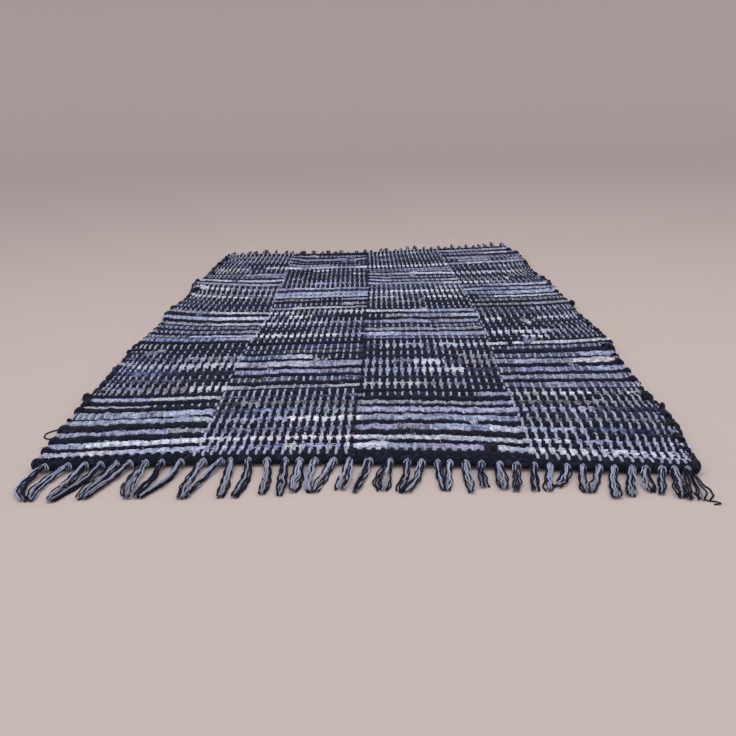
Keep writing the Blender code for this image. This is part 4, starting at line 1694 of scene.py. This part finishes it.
@dataclass
class Fringe:
    """The knotted fringe at one end: a loop over each knot and the warp yarns below it.

    Distances out are from the heading's outer side.
    """

    edge: Edge
    bunches: Sequence[Bunch]
    name: str
    lift: float = 0.0  # how high the tassels' tips stand over the floor
    yarns: int = 9
    pale: float = 0.85  # the share of pale yarns, of each bunch's own share
    tone: float = 0.12  # how much lighter or darker than its colour a yarn is
    tip_shade: float = 0.35  # how much darker a yarn grows towards its last ring, a tassel's cut end: painted shade
    radius: float = 0.76
    tip_sizes: tuple = (1.1, 0.85)  # radius of a yarn's last two rings, over that
    around: int = 5
    steps: int = 19
    floor: float = 0.15  # the lowest that a yarn lies
    layer: float = 1.35  # from one layer of yarns on the floor to the next
    layers: int = 3
    way: tuple = (0.0, 0.11, 0.40, 0.72, 1.0)  # five points on the way from the knot to the tip
    root_out: float = -0.5
    foot_out: float = 2.6
    root_height: float = 7.6
    foot_height: float = 4.8
    knot_width: float = 5.0  # how far apart the outermost yarns leave a knot
    slip: float = 0.09  # how far a tip is off its place, of the tassels' spread
    short: float = 1.6  # how much shorter than the longest yarn the others are
    stray: float = 0.7  # how far a yarn's middle is off its way
    gather: float = 0.6  # how far apart the tips lie, of the tassels' spread
    crinkle: float = 0.6  # how far a yarn waves to either side
    wave: tuple = (11.0, 19.0)  # the shortest and longest of those waves
    wave_start: float = 8.0  # how far from the knot they are full
    loop_radius: float = 0.75
    loop_steps: int = 9
    loop_width: float = 3.0  # half the width of a knot's outer loop
    loop_lean: tuple = (0.6, 0.7)  # how far the loops' crowns lean to the right, and their stray
    loop_out: tuple = (1.7, 1.0, -1.3, 0.9, 1.6)  # distances out of the outer loop's five points
    loop_height: tuple = (3.2, 6.6, 9.1, 6.8, 3.6)
    loop_side: tuple = (-0.9, -1.0, 0.0, 1.0, 1.0)  # their places across, in half widths
    loop_bend: tuple = (0.0, 0.5, 1.0, 0.5, 0.0)  # their share of the lean
    nest: tuple = (0.8, 0.5, 0.3)  # how much narrower, further out and lower the next loop is
    seed: int = 71

    def tassels(self) -> tuple[Array, Array]:
        """Set each yarn's path by five points on the way.

        The yarns leave the knot side by side, drop over the heading's face to the floor, and run
        to their tips; half way they stand apart by the bunch's belly and are bent by its bow.

        Returns:
            The points (yarns, 5, 3) and whether each yarn is pale.
        """
        dice = np.random.default_rng(self.seed)
        way, narrow = np.array(self.way), np.array([1, 1, 1, 0.95, self.gather])
        points, pale = [], []
        for bunch in self.bunches:
            total = self.yarns * len(bunch.knots)
            k = np.arange(total)
            knot = np.array(bunch.knots)[k // self.yarns]
            slot = (k % self.yarns) / (self.yarns - 1) - 0.5
            spot = k / (total - 1) - 0.5 + dice.normal(0, self.slip, total)
            root = knot + self.knot_width * slot
            tip = bunch.tip + bunch.spread * spot
            reach = bunch.reach - np.abs(dice.normal(0, self.short, total))
            lift = self.lift * dice.uniform(0.1, 1.6)
            floor = self.radius + 0.1 + self.layer * (dice.permutation(total) % self.layers)
            base = root[:, None] + (tip - root)[:, None] * way
            middle = base.mean(axis=0)
            fat = 1 + (bunch.belly - 1) * np.sin(np.pi * way)
            bend = bunch.bow * np.sin(np.pi * way)
            x = middle + (base - middle) * fat * narrow + bend
            x[:, 2:4] += dice.normal(0, self.stray, (total, 2))
            out = self.root_out + (reach - self.root_out)[:, None] * way
            out[:, 1] = self.foot_out

            # Heights at the knot, over the heading's face, and on the floor or on other yarns.
            z = np.stack([
                self.root_height + dice.normal(0, 0.5, total),
                self.foot_height + 0.5 * floor,
                floor + 0.3 * lift,
                floor + dice.normal(0, 0.3, total).clip(0) + 0.8 * lift,
                floor * 0.8 + 0.25 + lift * dice.uniform(0.4, 1.2, total),
            ], -1)
            points.append(self.edge.point(x, out, z))
            inner = np.abs(slot) * 1.6 + 0.5 * (k % 2) + dice.normal(0, 0.3, total)
            order = np.argsort(np.argsort(inner.reshape(-1, self.yarns), axis=1), axis=1).ravel()
            pale.append(order < round(bunch.pale * self.pale * self.yarns))
        return np.concatenate(points), np.concatenate(pale)

    def loops(self) -> tuple[Array, Array]:
        """Set the loops over the knots: arches that stand on the heading's outer shoulder.

        Returns:
            The points (loops, 5, 3) and whether each is pale.
        """
        dice = np.random.default_rng(self.seed + 1)
        knots = np.concatenate([np.array(bunch.knots, float) for bunch in self.bunches])
        lean = dice.normal(*self.loop_lean, knots.size)
        crown = np.array([0, 0, 1, 0, 0])
        thinner, further, lower = self.nest
        points, pale = [], []
        for level, colour in enumerate((True, False, True)):
            wide = self.loop_width - thinner * level + dice.normal(0, 0.2, knots.size)
            out = np.array(self.loop_out) + further * level * crown
            high = np.array(self.loop_height) - lower * level * crown
            x = wide[:, None] * np.array(self.loop_side)
            x = knots[:, None] + x + lean[:, None] * np.array(self.loop_bend)
            points.append(self.edge.point(x, out, high))
            pale.append(np.full(knots.size, colour))
        return np.concatenate(points), np.concatenate(pale)

    def tubes(self, marks: Array, steps: int, taper: bool) -> Array:
        """Carry a round section along smooth curves through the marks.

        A tassel's yarn also waves from side to side by a sine, and a little up and down.

        Args:
            marks: the points on the way, (yarns, 5, 3).
            steps: rings to a curve.
            taper: whether the curve is a tassel's yarn, whose last ring is its cut end.

        Returns:
            The rings, (yarns, steps, around, 3).
        """
        path = curves(marks, steps)
        size = np.full(steps, self.radius if taper else self.loop_radius)
        if taper:
            size[-2:] = self.radius * np.array(self.tip_sizes)
            dice = np.random.default_rng(self.seed + 2)
            run = np.linalg.norm(np.diff(path, axis=1), axis=-1)
            run = np.pad(np.cumsum(run, axis=1), ((0, 0), (1, 0)))
            length = dice.uniform(*self.wave, (len(path), 1))
            turn = 2 * np.pi * (run / length + dice.random((len(path), 1)))
            path[..., 0] += self.crinkle * np.sin(turn) * np.clip(run / self.wave_start, 0, 1)
            path[..., 2] += 0.4 * self.crinkle * (1 + np.sin(1.3 * turn))
        section = size[:, None, None] * ring(self.around)
        flat = np.array([1.0, 0.05, 0.0] if taper else [0.0, 1.0, 0.2])
        side, up = frames(path, flat)
        section = np.broadcast_to(section, path.shape[:2] + section.shape[1:])
        points = sweep(path, side, up, section)
        points[..., 2] = np.maximum(points[..., 2], self.floor)
        return points

    def build(self, finish: bpy.types.Material, node: str) -> list[bpy.types.Object]:
        """Make the tassels and the loops over their knots.

        Args:
            finish: the yarn's material.
            node: the solid that they stand for.

        Returns:
            The two pieces.
        """
        light, dark = (np.array(yarn.value) for yarn in (Yarn.PALE, Yarn.DARK))
        pieces = []
        for part, (marks, pale), steps in (
            ("tassels", self.tassels(), self.steps),
            ("loops", self.loops(), self.loop_steps),
        ):
            dice = np.random.default_rng(self.seed + steps)
            tone = dice.normal(1, self.tone, (len(marks), 1, 1, 1))
            # Each yarn darkens towards its last ring: painted shade at the tassels' cut ends.
            tip_shading = 1 - self.tip_shade * np.linspace(0, 1, steps)[:, None, None] ** 3
            shade = np.where(pale[:, None, None, None], light, dark) * tone * tip_shading
            rings = self.tubes(marks, steps, part == "tassels")
            tubes = Tubes(f"{self.name}_{part}", rings, shade)
            piece = tubes.make(finish)
            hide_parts(node)
            pieces.append(piece)
        return pieces


# ------------------------------------------------------------------------------------- the studio


@dataclass(frozen=True)
class Studio:
    """The pale floor, the soft light and the camera."""

    eye: tuple[float, float, float] = (0.020, -0.923, 0.303)
    down: float = 22.70  # degrees below level
    left: float = 1.271  # degrees to the left of +Y
    roll: float = 1.4
    lens: float = 30.42
    sensor: float = 36.0
    clip: tuple[float, float] = (0.02, 80.0)
    floor: tuple[float, float, float] = (0.58, 0.485, 0.465)
    floor_rough: float = 0.8
    floor_gloss: float = 0.2
    near: float = -6.0  # where the floor begins, in metres
    side: float = 14.0  # how far it goes to either side
    bend: float = 3.0  # where it begins to turn up behind the rug
    curve: float = 2.5  # radius of that turn
    top: float = 9.0  # how high it goes
    sky: float = 0.76
    sky_colour: tuple[float, float, float] = (0.97, 0.98, 1.0)
    lamp: float = 10.2
    lamp_size: tuple[float, float] = (2.2, 0.8)
    lamp_place: tuple[float, float, float] = (0.10, -0.4, 1.5)
    lamp_lean: tuple[float, float, float] = (-4.0, -5.0, 0.0)  # degrees

    def build_floor(self) -> None:
        """Lay a plain floor that turns up behind the rug in a quarter circle, without a line."""
        angle = np.linspace(0, np.pi / 2, 24)
        turn = self.bend + self.curve * np.sin(angle)
        y = np.concatenate([[self.near], turn, [self.bend + self.curve]])
        z = np.concatenate([[0.0], self.curve * (1 - np.cos(angle)), [self.top]])
        points = [(x, float(b), float(c)) for b, c in zip(y, z) for x in (-self.side, self.side)]
        faces = [(2 * i, 2 * i + 1, 2 * i + 3, 2 * i + 2) for i in range(len(y) - 1)]
        mesh = bpy.data.meshes.new("floor")
        mesh.from_pydata(points, [], faces)
        mesh.polygons.foreach_set("use_smooth", [True] * len(faces))
        nodes = Nodes("pale_floor")
        nodes.shader.inputs["Base Color"].default_value = (*self.floor, 1)
        mesh.materials.append(nodes.finished(self.floor_rough, self.floor_gloss))
        floor = bpy.data.objects.new("floor", mesh)
        bpy.context.scene.collection.objects.link(floor)

    def build_light(self) -> None:
        """Hang one wide soft light over the near end of the rug, in a bright plain room."""
        world = bpy.data.worlds.new("studio")
        world.use_nodes = True
        sky = world.node_tree.nodes["Background"]
        sky.inputs["Color"].default_value = (*self.sky_colour, 1)
        sky.inputs["Strength"].default_value = self.sky
        bpy.context.scene.world = world
        bpy.context.scene.view_settings.view_transform = "Standard"
        light = bpy.data.lights.new("soft_light", "AREA")
        light.shape = "RECTANGLE"
        light.size, light.size_y = self.lamp_size
        light.energy = self.lamp
        lamp = bpy.data.objects.new("soft_light", light)
        lamp.location = self.lamp_place
        lamp.rotation_euler = [math.radians(angle) for angle in self.lamp_lean]
        bpy.context.scene.collection.objects.link(lamp)

    def build_camera(self) -> None:
        """Set the camera by its tilt, turn and roll."""
        theta, psi, rho = (math.radians(a) for a in (self.down, self.left, self.roll))
        forward = Vector((-math.sin(psi) * math.cos(theta), math.cos(psi) * math.cos(theta),
                          -math.sin(theta)))
        level = Vector((math.cos(psi), math.sin(psi), 0))
        upright = level.cross(forward)
        right = math.cos(rho) * level - math.sin(rho) * upright
        top = math.sin(rho) * level + math.cos(rho) * upright
        data = bpy.data.cameras.new("camera")
        data.lens, data.sensor_width, data.sensor_fit = self.lens, self.sensor, "HORIZONTAL"
        data.clip_start, data.clip_end = self.clip
        camera = bpy.data.objects.new("camera", data)
        turn = Matrix((right, top, -forward)).transposed().to_4x4()
        camera.matrix_world = Matrix.Translation(self.eye) @ turn
        bpy.context.scene.collection.objects.link(camera)
        bpy.context.scene.camera = camera


def main() -> None:
    """Build the rug piece by piece, then the studio."""
    logging.basicConfig(level=logging.INFO, format="%(name)s %(message)s")
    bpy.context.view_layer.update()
    rag, yarn = RagFinish().material(), YarnFinish().material()
    weave = Weave()
    picks = Picks(weave)
    front = Edge(weave.plan, 0.0, -1.0, *FRONT_ROLL)
    back = Edge(weave.plan, 6.0, 1.0, *BACK_ROLL)
    made = picks.build(rag)
    made += Warp(weave).build(yarn, picks, (front, back))
    made += Frays(weave, picks).build(rag)
    line, _y = back.line()
    for edge, end, bunches, lift in (
        (front, "front", FRONT_BUNCHES, 0.0),
        (back, "back", back_bunches(line[0], line[-1]), 3.4),
    ):
        made.append(Heading(edge, "heading_" + end).build(rag))
        made += Fringe(edge, bunches, "fringe_" + end, lift).build(yarn, "heading_" + end)
    ground = Ground(weave).build(rag)
    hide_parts("woven_cloth")
    studio = Studio()
    studio.build_floor()
    studio.build_light()
    studio.build_camera()


if __name__ == "__main__":
    main()
